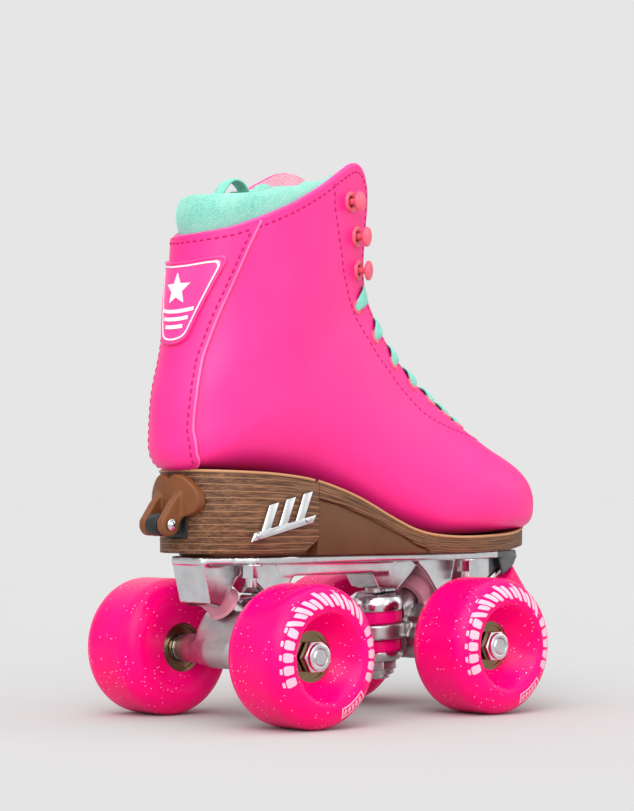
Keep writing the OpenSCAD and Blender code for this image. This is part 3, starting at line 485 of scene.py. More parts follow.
def boot_point(u, v):
    """Point of the boot's outer surface at station u and angle v: v = 0 is the front ridge."""
    u, v = np.broadcast_arrays(np.asarray(u, float), np.asarray(v, float))
    s = spline(u)
    c, n = np.cos(np.radians(v)), np.sin(np.radians(v))
    e = np.where(c >= 0, s[..., 6], s[..., 7])
    lens = np.abs(c) ** (2 / e)
    k = np.where(c >= 0, s[..., 5] + (1 - s[..., 5]) * lens, s[..., 5] - s[..., 5] * lens)
    y = s[..., 4] * np.sign(n) * np.abs(n) ** (2 / e)
    return np.stack([s[..., 2] + (s[..., 0] - s[..., 2]) * k, y, s[..., 3] + (s[..., 1] - s[..., 3]) * k], -1)


def unit(a):
    return a / np.linalg.norm(a, axis=-1, keepdims=True)


def boot_normal(u, v):
    round_it, up = boot_point(u, v + 2) - boot_point(u, v - 2), boot_point(u + 0.15, v) - boot_point(u - 0.15, v)
    return unit(np.cross(round_it, up))


def boot(u, v, out=0):
    """The same point moved outwards by out."""
    return boot_point(u, v) + out * boot_normal(u, v)


def solve(low, high, above):
    """Bisection: the value where above(value) turns true."""
    low, high = np.array(low, float), np.array(high, float)
    for _ in range(26):
        mid = (low + high) / 2
        hit = above(mid)
        high = np.where(hit, mid, high)
        low = np.where(hit, low, mid)
    return (low + high) / 2


def lookup(x, table):
    return np.interp(x, table[:, 0], table[:, 1])


def collar_u(v, lift=0):
    """Station where the angle v reaches the collar's edge, raised by lift."""
    def above(u):
        p = boot_point(u, v)
        return p[..., 2] > lookup(p[..., 0], COLLAR) + lift
    return solve(9, 19, above)


def facing_gap(u):
    """Half of the gap between the two lace facings at station u."""
    return np.interp(u, [THROAT_U, 9, 12, 19], [5.5, 13, 17, 18])


def edge_angle(u, y, fullness=6):
    """Angle on the front half at the distance y from the middle."""
    s = spline(u)
    return np.degrees(np.arcsin((np.asarray(y) / s[..., 4]) ** (s[..., fullness] / 2)))


def back_angle(u, y):
    return 180 - edge_angle(u, y, 7)


def sole_u(v):
    """Station where the angle v, round the heel, reaches the top of the sole."""
    return solve(11.4, 14.2, lambda u: boot_point(u, v)[..., 2] > SOLE_LINE)


def counter_u(v, w):
    """Station on the heel counter at the angle v, the share w of the way from the sole to the collar."""
    foot = sole_u(v)
    return foot + w * (collar_u(v, -0.8) - foot)


def behind_counter(p, margin=0):
    return p[..., 0] < lookup(p[..., 2], COUNTER_EDGE) - margin


def counter_angle(w):
    """Angle of the heel counter's edge, the share w of the way up."""
    return solve(60, 179, lambda v: behind_counter(boot_point(counter_u(v, w), v)))


def front_u(z, y):
    """Station where the surface, at the distance y from the middle, reaches the height z."""
    return solve(THROAT_U, 19, lambda u: boot_point(u, edge_angle(u, y))[..., 2] > z)


def ankle(w, side, margin=0):
    """Station and angle on the ankle part: w runs from the throat to the collar, side from one facing to the other."""
    w, side = np.broadcast_arrays(np.asarray(w, float), np.asarray(side, float))
    rough = THROAT_U + w * (14 - THROAT_U)
    v = 180 + side * (180 - edge_angle(rough, facing_gap(rough)) - margin)
    return THROAT_U + w * (collar_u(v) - THROAT_U), v


# ---- Boot skin ----


def upper():
    """Vamp and quarters as one closed skin: rings from the toe to the throat, then open at the facings."""
    cols, gap_cols, toe_rows, rows = 120, 14, 34, 84
    side = np.linspace(-1, 1, cols + 1)
    v_edge = float(edge_angle(THROAT_U, facing_gap(THROAT_U)))
    ring = np.concatenate([180 + side * (180 - v_edge), 360 + np.linspace(-v_edge, v_edge, gap_cols + 1)[1:-1]])
    m = len(ring)
    u, v = ankle(np.linspace(0, 1, rows + 1)[1:, None], side[None, :])
    verts, faces, tables = [], [], []
    for first, out in ((0, 0), (0.9, -SKIN)):
        toe = len(verts) + np.arange((toe_rows + 1) * m).reshape(-1, m)
        toe_u = first + (THROAT_U - first) * np.linspace(0, 1, toe_rows + 1)
        verts.extend(boot(toe_u[:, None], ring[None, :], out).reshape(-1, 3))
        high = len(verts) + np.arange(rows * (cols + 1)).reshape(rows, -1)
        verts.extend(boot(u, v, out).reshape(-1, 3))
        tables.append((toe, np.vstack([toe[-1:, :cols + 1], high])))
    for (toe, high), flip in zip(tables, (1, -1)):
        for table, count in ((toe, m), (high, cols)):
            for near, far in zip(table, table[1:]):
                for j in range(count):
                    k = (j + 1) % m
                    faces.append((near[j], near[k], far[k], far[j])[::flip])
        verts.append(np.mean(verts[toe[0, 0]:toe[1, 0]], axis=0))
        faces.extend((len(verts) - 1, toe[0, (j + 1) % m], toe[0, j])[::flip] for j in range(m))
    (o, o_high), (n, n_high) = tables
    for j in (0, cols):
        faces.extend(zip(o_high[:-1, j], o_high[1:, j], n_high[1:, j], n_high[:-1, j]))
    faces.extend(zip(o_high[-1, :-1], o_high[-1, 1:], n_high[-1, 1:], n_high[-1, :-1]))
    for j in range(cols, m):
        k = (j + 1) % m
        faces.append((o[-1, j], o[-1, k], n[-1, k], n[-1, j]))
    shell = Parts()
    shell.put(verts, faces)
    return shell.piece("boot_upper", PINK, "pink_leather", None, ("vamp", "quarters"), 50)


# ---- Paths on the skin ----


def lengths(points):
    """How far each point lies along its line."""
    return np.concatenate([[0], np.cumsum(np.linalg.norm(np.diff(points, axis=0), axis=1))])


def rows_at(at, far, rows):
    """Rows interpolated at the distances at, where far is the distance of each row."""
    return np.stack([np.interp(at, far, column) for column in rows.T], -1)


def resample(points, step):
    """Points at equal steps along a line of points."""
    far = lengths(points)
    return rows_at(np.linspace(0, far[-1], max(int(round(far[-1] / step)), 2) + 1), far, points)


def tree_of(ob):
    return BVHTree.FromPolygons([v.co / MM for v in ob.data.vertices], [p.vertices for p in ob.data.polygons])


def onto(tree, points, out=0):
    """The nearest points on a surface, and the outward directions there."""
    spots, ways = [], []
    for p in points:
        near, normal, _, _ = tree.find_nearest(Vector(p))
        spots.append(near + normal * out)
        ways.append(normal)
    return np.array(spots), np.array(ways)


def section(t, n):
    """Unit directions outwards and sideways, square to the direction t."""
    t = Vector(t).normalized()
    n = (Vector(n) - t * Vector(n).dot(t)).normalized()
    return n, t.cross(n)


def oval(p, n, s, radius, flat, count):
    return [p + s * radius * math.cos(a) + n * radius * flat * math.sin(a) for a in turns(count)]


def bead(parts, points, ways, radius, flat=1, count=10):
    """A round bead along points. flat squeezes it along the outward directions."""
    parts.tube([oval(Vector(p), *section(t, n), radius, flat, count)
                for p, t, n in zip(points, np.gradient(points, axis=0), ways)])


def stitches(parts, tree, path, length=2.5, gap=1, radius=0.56, lift=-0.08):
    """Short threads, pinched at their ends, laid along a path on a surface."""
    spots = resample(path, (length + gap) / 4)
    for i in range(0, len(spots) - 4, 4):
        line = resample(spots[i:i + 4], length / 5)[:6]
        seat, ways = onto(tree, line, lift)
        rings = []
        for k, (p, n) in enumerate(zip(seat, ways)):
            n, s = section(seat[min(k + 1, len(seat) - 1)] - seat[max(k - 1, 0)], n)
            r, dip = (radius * 0.35, 0.28) if k in (0, len(seat) - 1) else (radius, 0)
            rings.append(oval(Vector(p) - n * dip, n, s, r, 0.8, 6))
        parts.tube(rings)


skin = upper()
skin_tree = tree_of(skin)

# ---- Edges and stitching of the upper ----


def evened(points, ways, step):
    """Points at equal steps along a line, with the outward directions there."""
    far = lengths(points)
    at = np.linspace(0, far[-1], int(far[-1] / step) + 1)
    return rows_at(at, far, points), unit(rows_at(at, far, ways))


def softened(line, passes):
    """The line with its kinks evened out; its ends stay."""
    line = np.array(line, float)
    for _ in range(passes):
        line[1:-1] = (line[:-2] + 2 * line[1:-1] + line[2:]) / 4
    return line


def edge_frame(steps=160):
    """Points and outward directions along the skin's open edge."""
    u1, v1 = ankle(np.linspace(0, 1, steps), -1)
    u2, v2 = ankle(1, np.linspace(-1, 1, 3 * steps)[1:-1])
    u, v = np.concatenate([u1, u2, u1[::-1]]), np.concatenate([v1, v2, 360 - v1[::-1]])
    return evened(boot_point(u, v), boot_normal(u, v), 1.3)


edge, edge_out = (softened(a, 3) for a in edge_frame())
rolled = Parts()
bead(rolled, edge - edge_out * 1.1, edge_out, 1.2, 1, 12)
rolled.piece("upper_edge", PINK_TRIM, "pink_leather")


def counter_shell(out, rows=44, cols=72, low=0, high=1):
    """Grid over the heel counter, from seam to seam."""
    w = np.linspace(low, high, rows)
    v = 180 + np.linspace(-1, 1, cols)[None, :] * (180 - counter_angle(w)[:, None])
    return boot(counter_u(v, w[:, None]), v, out)


counter = Parts()
counter.sheet(counter_shell(1.55), counter_shell(0.6))
counter_tree = tree_of(counter.piece("heel_counter_skin", PINK, "pink_leather", "heel_carriage", ("heel_counter",), 50))

# A bead along each side of the heel counter stands for the overlay's cut edge; its lighter pink is a painted highlight.
lit_edge, counter_thread = Parts(), Parts()
seams = counter_shell(0.95, 110, 2)
share = np.linspace(0, 1, 110)
seam_v = counter_angle(share)
seam_out = boot_normal(counter_u(seam_v, share), seam_v)
inner_rows = counter_shell(1.6, 90, 60, 0.015, 0.985)
for j, beside, sign in ((0, 4, 1), (-1, -5, -1)):
    line, ways = evened(softened(seams[:, j], 6), seam_out * [1, sign, 1], 1)
    bead(lit_edge, line, ways, 0.75, 0.9)
    front = softened(inner_rows[:, j], 6)
    stitches(counter_thread, counter_tree, front + unit(inner_rows[:, beside] - front) * 2.7)
lit_edge.piece("counter_edge_painted_highlight", EDGE_HIGHLIGHT_PINK, "pink_leather", "heel_carriage")

# Lines of stitching: one beside the edge all round, and one behind the eyelets on each side.
thread = Parts()
line = edge + unit(np.cross(np.gradient(edge, axis=0), edge_out)) * 3
back = behind_counter(line, 0.4)
first, last = int(np.argmax(back)), len(back) - int(np.argmax(back[::-1]))
stitches(thread, skin_tree, line[2:first])
stitches(thread, skin_tree, line[last:-2])
stitches(counter_thread, counter_tree, (line + edge_out * 1.8)[first:last])
counter_thread.piece("counter_stitches", THREAD, "pink_leather", "heel_carriage")
# The line behind the eyelets, as [height, distance from the middle].
FACING = np.array([
    [120.5, 4], [121.5, 9], [123.5, 15], [126.5, 21], [130.5, 24.5], [136.5, 25.2], [147, 23.5], [156, 22.9],
    [166, 23.2], [176, 23.2], [185, 23.6], [193, 25.2], [201, 26.9], [215, 28.6], [227, 29.4], [247, 29.6]])
z = np.linspace(121, 241, 160)
y = lookup(z, FACING)
u = front_u(z, y)
line = softened(boot_point(u, edge_angle(u, y)), 8)
stitches(thread, skin_tree, line)
stitches(thread, skin_tree, line * [1, -1, 1])
thread.piece("upper_stitches", THREAD, "pink_leather")


# ---- Heel patch: a moulded shield with a plain raised design ----

PATCH_LOW, PATCH_HIGH = 16.2, 17.9
PATCH_HALF = np.array([[0.0, 4.5], [0.06, 7.5], [0.5, 13.5], [0.88, 18.6], [1.0, 17.2]])


def patch_point(y, h, out):
    """y is the distance from the middle in mm, and h runs from the patch's foot to its top."""
    u = PATCH_LOW + (PATCH_HIGH - PATCH_LOW) * np.asarray(h, float)
    v = np.where(np.asarray(y) >= 0, 1, -1) * (back_angle(u, np.abs(y)) - 180) + 180
    return boot(u, v, out)


def patch_ring(share, out, count=84):
    """The patch's outline, pulled in to a share of its size."""
    h = np.concatenate([np.linspace(0, 1, count // 2), np.linspace(1, 0, count // 2)])
    side = np.repeat([1, -1], count // 2)
    y = side * lookup(h, PATCH_HALF)
    for _ in range(3):
        y, h = ((a + 0.5 * (np.roll(a, 1) + np.roll(a, -1))) / 2 for a in (y, h))
    return patch_point(y * share, 0.52 + (h - 0.52) * share, out)


patch = Parts()
patch.tube([patch_ring(1, 1.6), patch_ring(1, 2.9), patch_ring(0.985, 3.25), patch_ring(0.955, 3.25),
            patch_ring(0.94, 2.7)] + [patch_ring(s, 2.7) for s in np.linspace(0.85, 0.02, 12)])
patch.piece("heel_patch_shield", PINK_TRIM, "pink_leather", "heel_carriage", ("heel_patch",), 40)
relief = Parts()
relief.tube([patch_ring(0.90, 2.6), patch_ring(0.90, 3), patch_ring(0.86, 3), patch_ring(0.86, 2.6)], closed=True)


def patch_shape(outline, centre, steps=8):
    """A raised flat shape on the patch, from its outline as [y, h] points round a centre."""
    from_centre = np.array(outline) - centre
    relief.tube([patch_point(*(centre + from_centre * share).T, out)
                 for share, out in [(1, 2.6), (1, 3)] + [(1 - k / steps, 3) for k in range(1, steps)]])


STAR_AT, STAR_R, PATCH_TALL = (0, 0.66), 7.2, 36
corners = []
for k in range(11):
    r = STAR_R * (1 if k % 2 == 0 else 0.45)
    a = math.pi / 2 + k % 10 * math.pi / 5
    corners.append((STAR_AT[0] + r * math.cos(a), STAR_AT[1] + r * math.sin(a) / PATCH_TALL))
star = [(y0 + (y1 - y0) * t / 4, h0 + (h1 - h0) * t / 4) for (y0, h0), (y1, h1) in zip(corners, corners[1:])
        for t in range(4)]
patch_shape(star, STAR_AT)
for h, half in ((0.40, 9), (0.31, 7), (0.22, 5)):
    bar = [(y, h + 0.022) for y in np.linspace(half, -half, 9)] + [(y, h - 0.022) for y in np.linspace(-half, half, 9)]
    patch_shape(bar, (0, h))
relief.piece("heel_patch_relief", WHITE, "pink_leather", "heel_carriage", smooth=40)


# ---- Padded pieces ----


def swell(ob, cap, pressure=4, voxel=0.004, frames=20):
    """Cloth under inner pressure on a remeshed copy; no point moves further than cap. Leaves plain mesh."""
    modify(ob, "REMESH", mode="VOXEL", voxel_size=voxel)
    bake(ob)
    rest = np.array([v.co for v in ob.data.vertices])
    m = modify(ob, "CLOTH")
    m.settings.use_pressure = True
    m.settings.uniform_pressure_force = pressure
    m.settings.effector_weights.gravity = 0
    m.point_cache.frame_start, m.point_cache.frame_end = 1, frames
    for f in range(1, frames + 1):
        bpy.context.scene.frame_set(f)
    bake(ob)
    bpy.context.scene.frame_set(1)
    move = np.array([v.co for v in ob.data.vertices]) - rest
    size = np.linalg.norm(move, axis=1, keepdims=True)
    ob.data.vertices.foreach_set("co", (rest + move * np.minimum(1, cap / np.maximum(size, 1e-9))).reshape(-1))
    modify(ob, "SMOOTH", factor=0.5, iterations=4)
    modify(ob, "SUBSURF", levels=1, render_levels=1)
    bake(ob)


def loop_line(points, count):
    """A smooth closed line through a ring of points."""
    p = np.asarray(points, float)
    n = len(p)
    at = np.arange(count) * n / count
    i = np.floor(at).astype(int)
    t = (at - i)[:, None]
    return between(p[(i - 1) % n], p[i % n], p[(i + 1) % n], p[(i + 2) % n], t)


def cuff():
    """Padded collar: a rounded pad inside the top of the boot that stands proud of it at the back."""
    steps, first, thick = 90, 55, 9
    rings = []
    for v in np.linspace(first, 360 - first, steps):
        u = float(collar_u(v))
        p, n = boot_point(u, v), boot_normal(u, v)
        inward = np.array([-n[0], -n[1], 0]) / math.hypot(n[0], n[1])
        proud = np.interp(p[0], [-97, -60, -35, -20, 0], [20.5, 12.5, 3.5, -4.5, -9])
        bulge = np.interp(p[0], [-97, -60, -30], [1.5, 0, -1.5])
        profile = [(2.7, -24), (2.7, -12), (2.7, -2), (2.3 - bulge, 3), (0.9 - bulge, proud * 0.55),
                   (2.5 - bulge, proud - 2), (5 - bulge, proud), (7.5, proud - 0.5), (thick + 1, proud - 4),
                   (thick + 1.6, proud - 12), (7, -24)]
        ring = loop_line([p + a * inward + np.array([0, 0, b]) for a, b in profile], 36)
        rings.append(ring + (ring.mean(0) - ring) * 0.05)
    pad = Parts()
    pad.tube(rings)
    ob = pad.mesh("collar_pad")
    swell(ob, 0.0022)
    dress(ob, VELVET, "mint_velvet", None, ("cuff",), 180)


def crowned(name, mat, slot, body, stands_for, outer, inner):
    """A padded sheet between two grids that is thickest in its middle."""
    outer, inner = np.asarray(outer), np.asarray(inner)
    rows, cols = outer.shape[:2]
    a = np.sin(np.linspace(0, math.pi, rows)) ** 0.35
    b = np.sin(np.linspace(0, math.pi, cols)) ** 0.35
    share = np.clip(a[:, None] * b[None, :], 0.12, 1)[..., None]
    middle = (outer + inner) / 2
    grid = Parts()
    grid.sheet(middle + (outer - middle) * share, middle + (inner - middle) * share)
    grid.piece(name, mat, slot, body, stands_for, 180)


def liner_grid(out):
    u, v = ankle(np.linspace(0.05, 0.8, 60)[:, None], np.linspace(-1, 1, 96)[None, :], 14)
    return boot(u, v, out)


cuff()
crowned("boot_liner", LINING, "lining_pink", None, ("liner",), liner_grid(-SKIN - 0.5), liner_grid(-SKIN - 3.4))
peak = Parts()
for sign in (1, -1):
    share = np.linspace(0, 1, 24)

    def peak_grid(out):
        rows = []
        for w in np.linspace(0.45, 1, 40):
            u0, v0 = ankle(w, -1, 0.8)
            v = float(v0) + share * (88 - float(v0))
            u = THROAT_U + w * (collar_u(v, 0.7) - THROAT_U)
            rows.append(boot(u, v, out) * [1, sign, 1])
        return rows
    peak.sheet(peak_grid(-SKIN + 0.1), peak_grid(-SKIN - 0.8))
peak.piece("peak_lining", LINING, "lining_pink", "chassis", (), 50)


def tongue_grid(out, rows=60, cols=28):
    u = np.linspace(THROAT_U - 0.4, 16.75, rows)
    end = boot(u, edge_angle(u, facing_gap(u)) + np.interp(u, [6, 15], [5, 4]), out)
    side = np.linspace(-1, 1, cols)[None, :, None]
    flat = end[:, None, :] * [1, 0, 1] + end[:, None, :] * [0, 1, 0] * side
    return flat + 0.4 * (1 - side ** 2) * boot_normal(u, 0 * u)[:, None, :]


crowned("boot_tongue", LINING, "lining_pink", "chassis", ("tongue",), tongue_grid(-SKIN - 0.8),
        tongue_grid(-SKIN - 4.2))


def bed_grid(out, rows=60, cols=30):
    u = 2.8 + 9.2 * np.linspace(0, 1, rows)
    v = 180 + 42 * np.linspace(-1, 1, cols)
    return boot(u[:, None], v[None, :], out)


crowned("footbed", FOAM, "foam_grey", "chassis", ("insole",), bed_grid(-SKIN - 4), bed_grid(-SKIN - 6.6))


# ---- Lace, eyelets and hooks ----

EYELETS, EYELET_BACK = 7, 5.2
HOOK_Y = (21, 23.8, 26.8)


def eyelet_station(i):
    t = i / (EYELETS - 1)
    z = 133 + 26 * t + 27 * t * t
    return float(front_u(z, np.interp(z, [133, 189], [7, 17]) + EYELET_BACK))


def lace_at(u, y, out):
    """Point on the lace's way: on the facing it follows the boot, and between them it spans the throat."""
    gap = float(facing_gap(u))
    if abs(y) >= gap:
        return boot(u, math.copysign(float(edge_angle(u, abs(y))), y), out)
    brim = boot(u, float(edge_angle(u, gap)), out)
    return np.array([brim[0], y, brim[2]]) + 1.6 * (1 - (y / gap) ** 2) * boot_normal(u, 0.0)


BAND_HALF = 3.7
BAND_SECTION = ((-1, 0), (-0.93, 0.8), (-0.6, 1), (0, 0.85), (0.6, 1), (0.93, 0.8), (1, 0), (0.93, -0.8), (0.6, -1),
                (0, -0.85), (-0.6, -1), (-0.93, -0.8))


def band(parts, points, ways, widths, thick=1.05):
    """A flat woven band with soft edges along a smooth line of points."""
    rings = []
    for p, t, n, half in zip(points, np.gradient(points, axis=0), ways, widths):
        n, s = section(t, n)
        h = thick / 2 * (1 + 0.5 * (1 - half / BAND_HALF))
        rings.append([Vector(p) + s * half * a + n * (h * b - 0.45 * a * a * min(half / BAND_HALF, 1))
                      for a, b in BAND_SECTION])
    parts.tube(rings)


lace = Parts()
stations = [eyelet_station(i) for i in range(EYELETS)] + [eyelet_station(EYELETS - 1) + 0.75]
for i in range(EYELETS):
    for sign in (1, -1):
        u0, u1 = stations[i], stations[i + 1]
        g0, g1 = float(facing_gap(u0)), float(facing_gap(u1))
        over = 1.5 if (i % 2 == 0) == (sign > 0) else 0.1
        rise = u1 - u0
        # Each row: station, distance from the middle, height over the boot and half width.
        u, y, out, half = np.array([
            (u0 - 0.03, g0 + EYELET_BACK + 0.5, -0.9, 1.6), (u0 - 0.02, g0 + EYELET_BACK - 0.6, 1, 2.4),
            (u0, g0 + 3.4, 2, 3.4), (u0 + 0.02, g0 + 0.6, 2.3, 3.7),
            (u0 + 0.08 * rise, g0 * 0.8, 1.6 + over / 2, 3.7), (u0 + 0.25 * rise, g0 * 0.45, 1 + over, 3.7),
            (u0 + 0.5 * rise, 0, 0.7 + over, 3.7), (u0 + 0.8 * rise, -g1 * 0.6, -0.3 + over / 2, 3.6),
            (u1 - 0.1, -g1 + 0.6, -2.6, 3.4), (u1 - 0.05, -g1 - 1.4, -3.1, 3.2)]).T
        spots = np.array([lace_at(*at) for at in zip(u, sign * y, out)])
        ways = boot_normal(u, np.copysign(edge_angle(u, abs(y)), sign * y))
        t, k = np.linspace(0, len(u) - 1, 50), np.arange(len(u))
        spots, ways, widths = (softened(rows_at(t, k, a), 10) for a in (spots, ways, half[:, None]))
        band(lace, spots, ways, widths[:, 0])
lace.piece("lace_bands", LACE, "mint_lace", "chassis", ("lace",), 60)


def seat(u, y):
    """A map from local points to a spot on the boot, with local z outwards and local x up the boot."""
    v = math.copysign(float(edge_angle(u, abs(y))), y)
    p, n = boot_point(u, v), boot_normal(u, v)
    up = boot_point(u + 0.1, v) - boot_point(u - 0.1, v)
    return place_on(p, n, up)


rings, hooks, hole_shade = Parts(), Parts(), Parts()
for i in range(EYELETS):
    for sign in (1, -1):
        u = eyelet_station(i)
        rings.lathe([(1.9, -0.3), (1.9, 0.5), (2.2, 0.85), (2.7, 0.9), (3.15, 0.6), (3.3, 0), (3.3, -0.3)],
                    seat(u, sign * (float(facing_gap(u)) + EYELET_BACK)), 28)
for i, y in enumerate(HOOK_Y):
    for sign in (1, -1):
        place = seat(float(front_u(202 + 15 * i, y)), sign * y)
        hooks.lathe([(2.5, 0.3), (2.9, 0.8), (3.8, 1.15), (4.5, 0.85), (4.85, 0.2), (4.85, -0.2), (2.5, -0.2)],
                    place, 40)
        hooks.lathe([(0, 0), (1.6, 0), (1.45, 1.6), (1.5, 3.2), (2.1, 4), (3.9, 4.3), (4.5, 4.7), (4.6, 5.2),
                     (4.2, 5.8), (3, 6.25), (1.5, 6.45), (0, 6.5)], place, 40)
        # A dark disc inside each hook's ring: painted shade in its hole.
        hole_shade.lathe([(0, -0.1), (2.7, -0.1), (2.7, 0.25), (0, 0.25)], place, 24)
rings.piece("eyelet_rings", CORAL, "coral_metal", "chassis", ("eyelets",), 40)
hooks.piece("hook_studs", CORAL, "coral_metal", "chassis", ("lace_hooks",), 40)
hole_shade.piece("hook_hole_painted_shade", HOLE_PAINTED_SHADE, "coral_metal", "chassis")

# Pull loop of flat tape: an arch whose two feet are sewn into the collar.
low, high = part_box("pull_loop")
middle = (low + high) / 2 / MM
tape = Parts()
arch = np.linspace(-0.15, math.pi + 0.15, 40)
r = (high.x - low.x) / 2 / MM - 0.6
foot = low.z / MM
c, s = np.cos(arch), np.sin(arch)
tape_line = np.stack([middle.x - r * c, middle.y - 0.176 * r * s + 0.8, foot + (r + 5) * s], -1)
band(tape, tape_line, np.stack([-c, 0 * c, s], -1), np.full(40, BAND_HALF), 1.2)
tape.piece("pull_tape", LACE, "mint_lace", None, ("pull_loop",), 60)


# ---- Wheels ----

HALF_TRACK, AXLE_Z = 48.95, 31
AXLE_X = {"front": 40.8, "rear": -70.5}
# The wheel's radius, half its width and the radius of its rounded shoulders.
R, H, TREAD = 31, 18.6, 10


def arc(cx, cy, r, a, b, n):
    return [(cx + r * math.cos(math.radians(a + (b - a) * k / n)), cy + r * math.sin(math.radians(a + (b - a) * k / n)))
            for k in range(n + 1)]


def face_height(r):
    return H - TREAD + math.sqrt(max(TREAD ** 2 - (r - (R - TREAD)) ** 2, 0))


WHEEL_PROFILE = ([(9.2, -10.9), (11, -10.9), (11, -18), (11.6, -18.6)]
                 + arc(R - TREAD, TREAD - H, TREAD, -90, 0, 16) + arc(R - TREAD, H - TREAD, TREAD, 0, 78, 14)
                 + [(21.2, 18.5), (20.2, 18.35), (19.3, 17.9), (18.7, 17.2), (16.4, 13.2), (14, 9.2), (12.2, 7.4),
                    (11.5, 6.6), (11, 6.2), (11, -0.9), (9.2, -0.9)])


def wheel_place(end, side):
    """Local x is to the right and local y up as seen from outside, and local z points away from the skate."""
    s = 1 if side == "left" else -1
    at = Vector((AXLE_X[end], s * HALF_TRACK, AXLE_Z))
    return lambda p: at + Vector((-s * p[0], s * p[2], p[1]))


def print_bar(parts, place, a0, a1, r0, r1, slant=0, n=5):
    """A printed bar between two angles and two radii, thinly raised on the wheel's rounded face."""
    def spot(k, q, out):
        r = r0 + (r1 - r0) * k / n
        ease = 0.12 * (a1 - a0) if k in (0, n) else 0
        a = math.radians(a0 + ease + (a1 - a0 - 2 * ease) * q / n + slant * (r - r0))
        return place((r * math.cos(a), r * math.sin(a), face_height(r) + out))
    parts.sheet(*([[spot(k, q, out) for q in range(n + 1)] for k in range(n + 1)] for out in (0.05, -0.15)))


for end in ("front", "rear"):
    for side in ("left", "right"):
        place = wheel_place(end, side)
        body = f"{end}_{side}_wheel"
        tyre = Parts()
        tyre.lathe(WHEEL_PROFILE, place, 144)
        tyre.piece(f"tyre_{end}_{side}", WHEEL, "pink_urethane", body, (f"wheel_{end}_{side}",), 50)
        ink = Parts()
        for first, pitch, wide, cap in ((207, 12.5, 9, 7), (30, 12, 8.8, 6.5)):
            for k in range(5):
                a = first - pitch * k
                print_bar(ink, place, a - wide, a, 21.8, 26.2)
                print_bar(ink, place, a - cap, a - 2, 26.7, 27.6)
        for k in range(13):
            a = 140 - 8.2 * k
            print_bar(ink, place, a - 5.6, a, 21.6 + 0.8 * (k % 2), 28.6 - 0.9 * ((k + 1) % 3), 1.6)
        for a0, a1, r0, r1 in ((286, 320, 22.6, 23.2), (286, 320, 26.6, 27.2), (286, 287.6, 22.6, 27.2),
                               (318.4, 320, 22.6, 27.2)):
            print_bar(ink, place, a0, a1, r0, r1, 0, 8)
        for k in range(5):
            print_bar(ink, place, 290 + 5.6 * k, 293.2 + 5.6 * k, 23.9, 25.9, -0.8)
        ink.piece(f"wheel_print_{end}_{side}", PRINT, "pink_urethane", body)
        paint(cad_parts[f"bearings_{end}_{side}"].data, BRONZE)


# ---- Trucks, plate and heel: rounded copies of the CAD nodes ----


def ridged(r, start, stop, pitch=1.25, depth=0.55):
    """Thread-like ridges on a rod between two heights."""
    n = int(round(abs(stop - start) / pitch))
    step = (stop - start) / n
    return [(r - d, start + step * (k + at)) for k in range(n) for d, at in ((0, 0.1), (0, 0.35), (depth, 0.75))]


for end in ("front", "rear"):
    truck = f"{end}_truck"
    tip, thread_from = 61.05, 52
    rod = Parts()
    place = place_on((AXLE_X[end], 0, AXLE_Z), (0, 1, 0))
    rod.lathe([(0, -tip), (3.2, -tip)] + ridged(4, -tip + 0.6, -thread_from)
              + [(4, -thread_from), (4, thread_from)] + ridged(4, thread_from, tip - 0.6)
              + [(3.2, tip), (0, tip)], place, 40)
    rod.piece(f"axle_rod_{end}", SATIN, "plated_steel", truck, (f"axle_{end}",), 40)
    rounded(f"axle_nuts_{end}", STEEL, "plated_steel", truck, 0.0004)
    rounded(f"hanger_{end}", CAST, "cast_aluminium", truck, voxel=0.0006, passes=7, smooth=180)
    rounded(f"retainers_{end}", STEEL, "plated_steel", "chassis", 0.0003)
    rounded(f"kingpin_nut_{end}", SATIN, "plated_steel", "chassis", 0.0005)
    for node, mat in (("kingpin", SATIN), ("pivot_cup", CUP), ("axle_spacers", STEEL), ("inner_races", STEEL)):
        paint(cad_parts[f"{node}_{end}"].data, mat)
    for part in ("top", "bottom"):
        rounded(f"cushion_{part}_{end}", CUSHION, "cushion_urethane", "chassis", 0.0008)
for node, mat, slot, body, kind in (
        ("plate", POLISHED, "cast_aluminium", "chassis", {"voxel": 0.0006, "passes": 4, "smooth": 180}),
        ("mount_nuts", STEEL, "plated_steel", "chassis", {"bevel": 0.0004}),
        ("toe_stop", WHEEL, "pink_urethane", "chassis", {"bevel": 0.0006}),
        ("toe_stop_nut", STEEL, "plated_steel", "chassis", {"bevel": 0.0004}),
        ("heel_block", WOOD, "stacked_wood", "heel_carriage", {"bevel": 0.0008}),
        ("toe_sole", WOOD, "stacked_wood", "chassis", {"bevel": 0.0008}),
        ("sole_core", BROWN, "brown_plastic", "chassis", {"bevel": 0.0006}),
        ("lever_bracket", BLACK, "black_plastic", "heel_carriage", {"bevel": 0.0005}),
        ("heel_lever", TAN, "tan_plastic", "lever", {"voxel": 0.0005, "passes": 9, "smooth": 180}),
        ("lever_pin", STEEL, "plated_steel", "heel_carriage", {"bevel": 0.0004}),
        ("side_badges", STEEL, "plated_steel", "heel_carriage", {"bevel": 0.0003})):
    rounded(node, mat, slot, body, **kind)
# Polygons of the plate past NOSE_FROM take the darker metal: painted shade on the nose.
NOSE_FROM = 0.088
plate = bpy.data.objects["plate_finish"]
plate.data.materials.append(NOSE_PAINTED_SHADE)
for p in plate.data.polygons:
    if p.center.x > NOSE_FROM:
        p.material_index = 1
for node, mat in (("mount_bolts", STEEL), ("toe_stop_stem", STEEL), ("badge_rivets", STEEL), ("size_rack", SATIN),
                  ("lock_pawl", SATIN)):
    paint(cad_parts[node].data, mat)


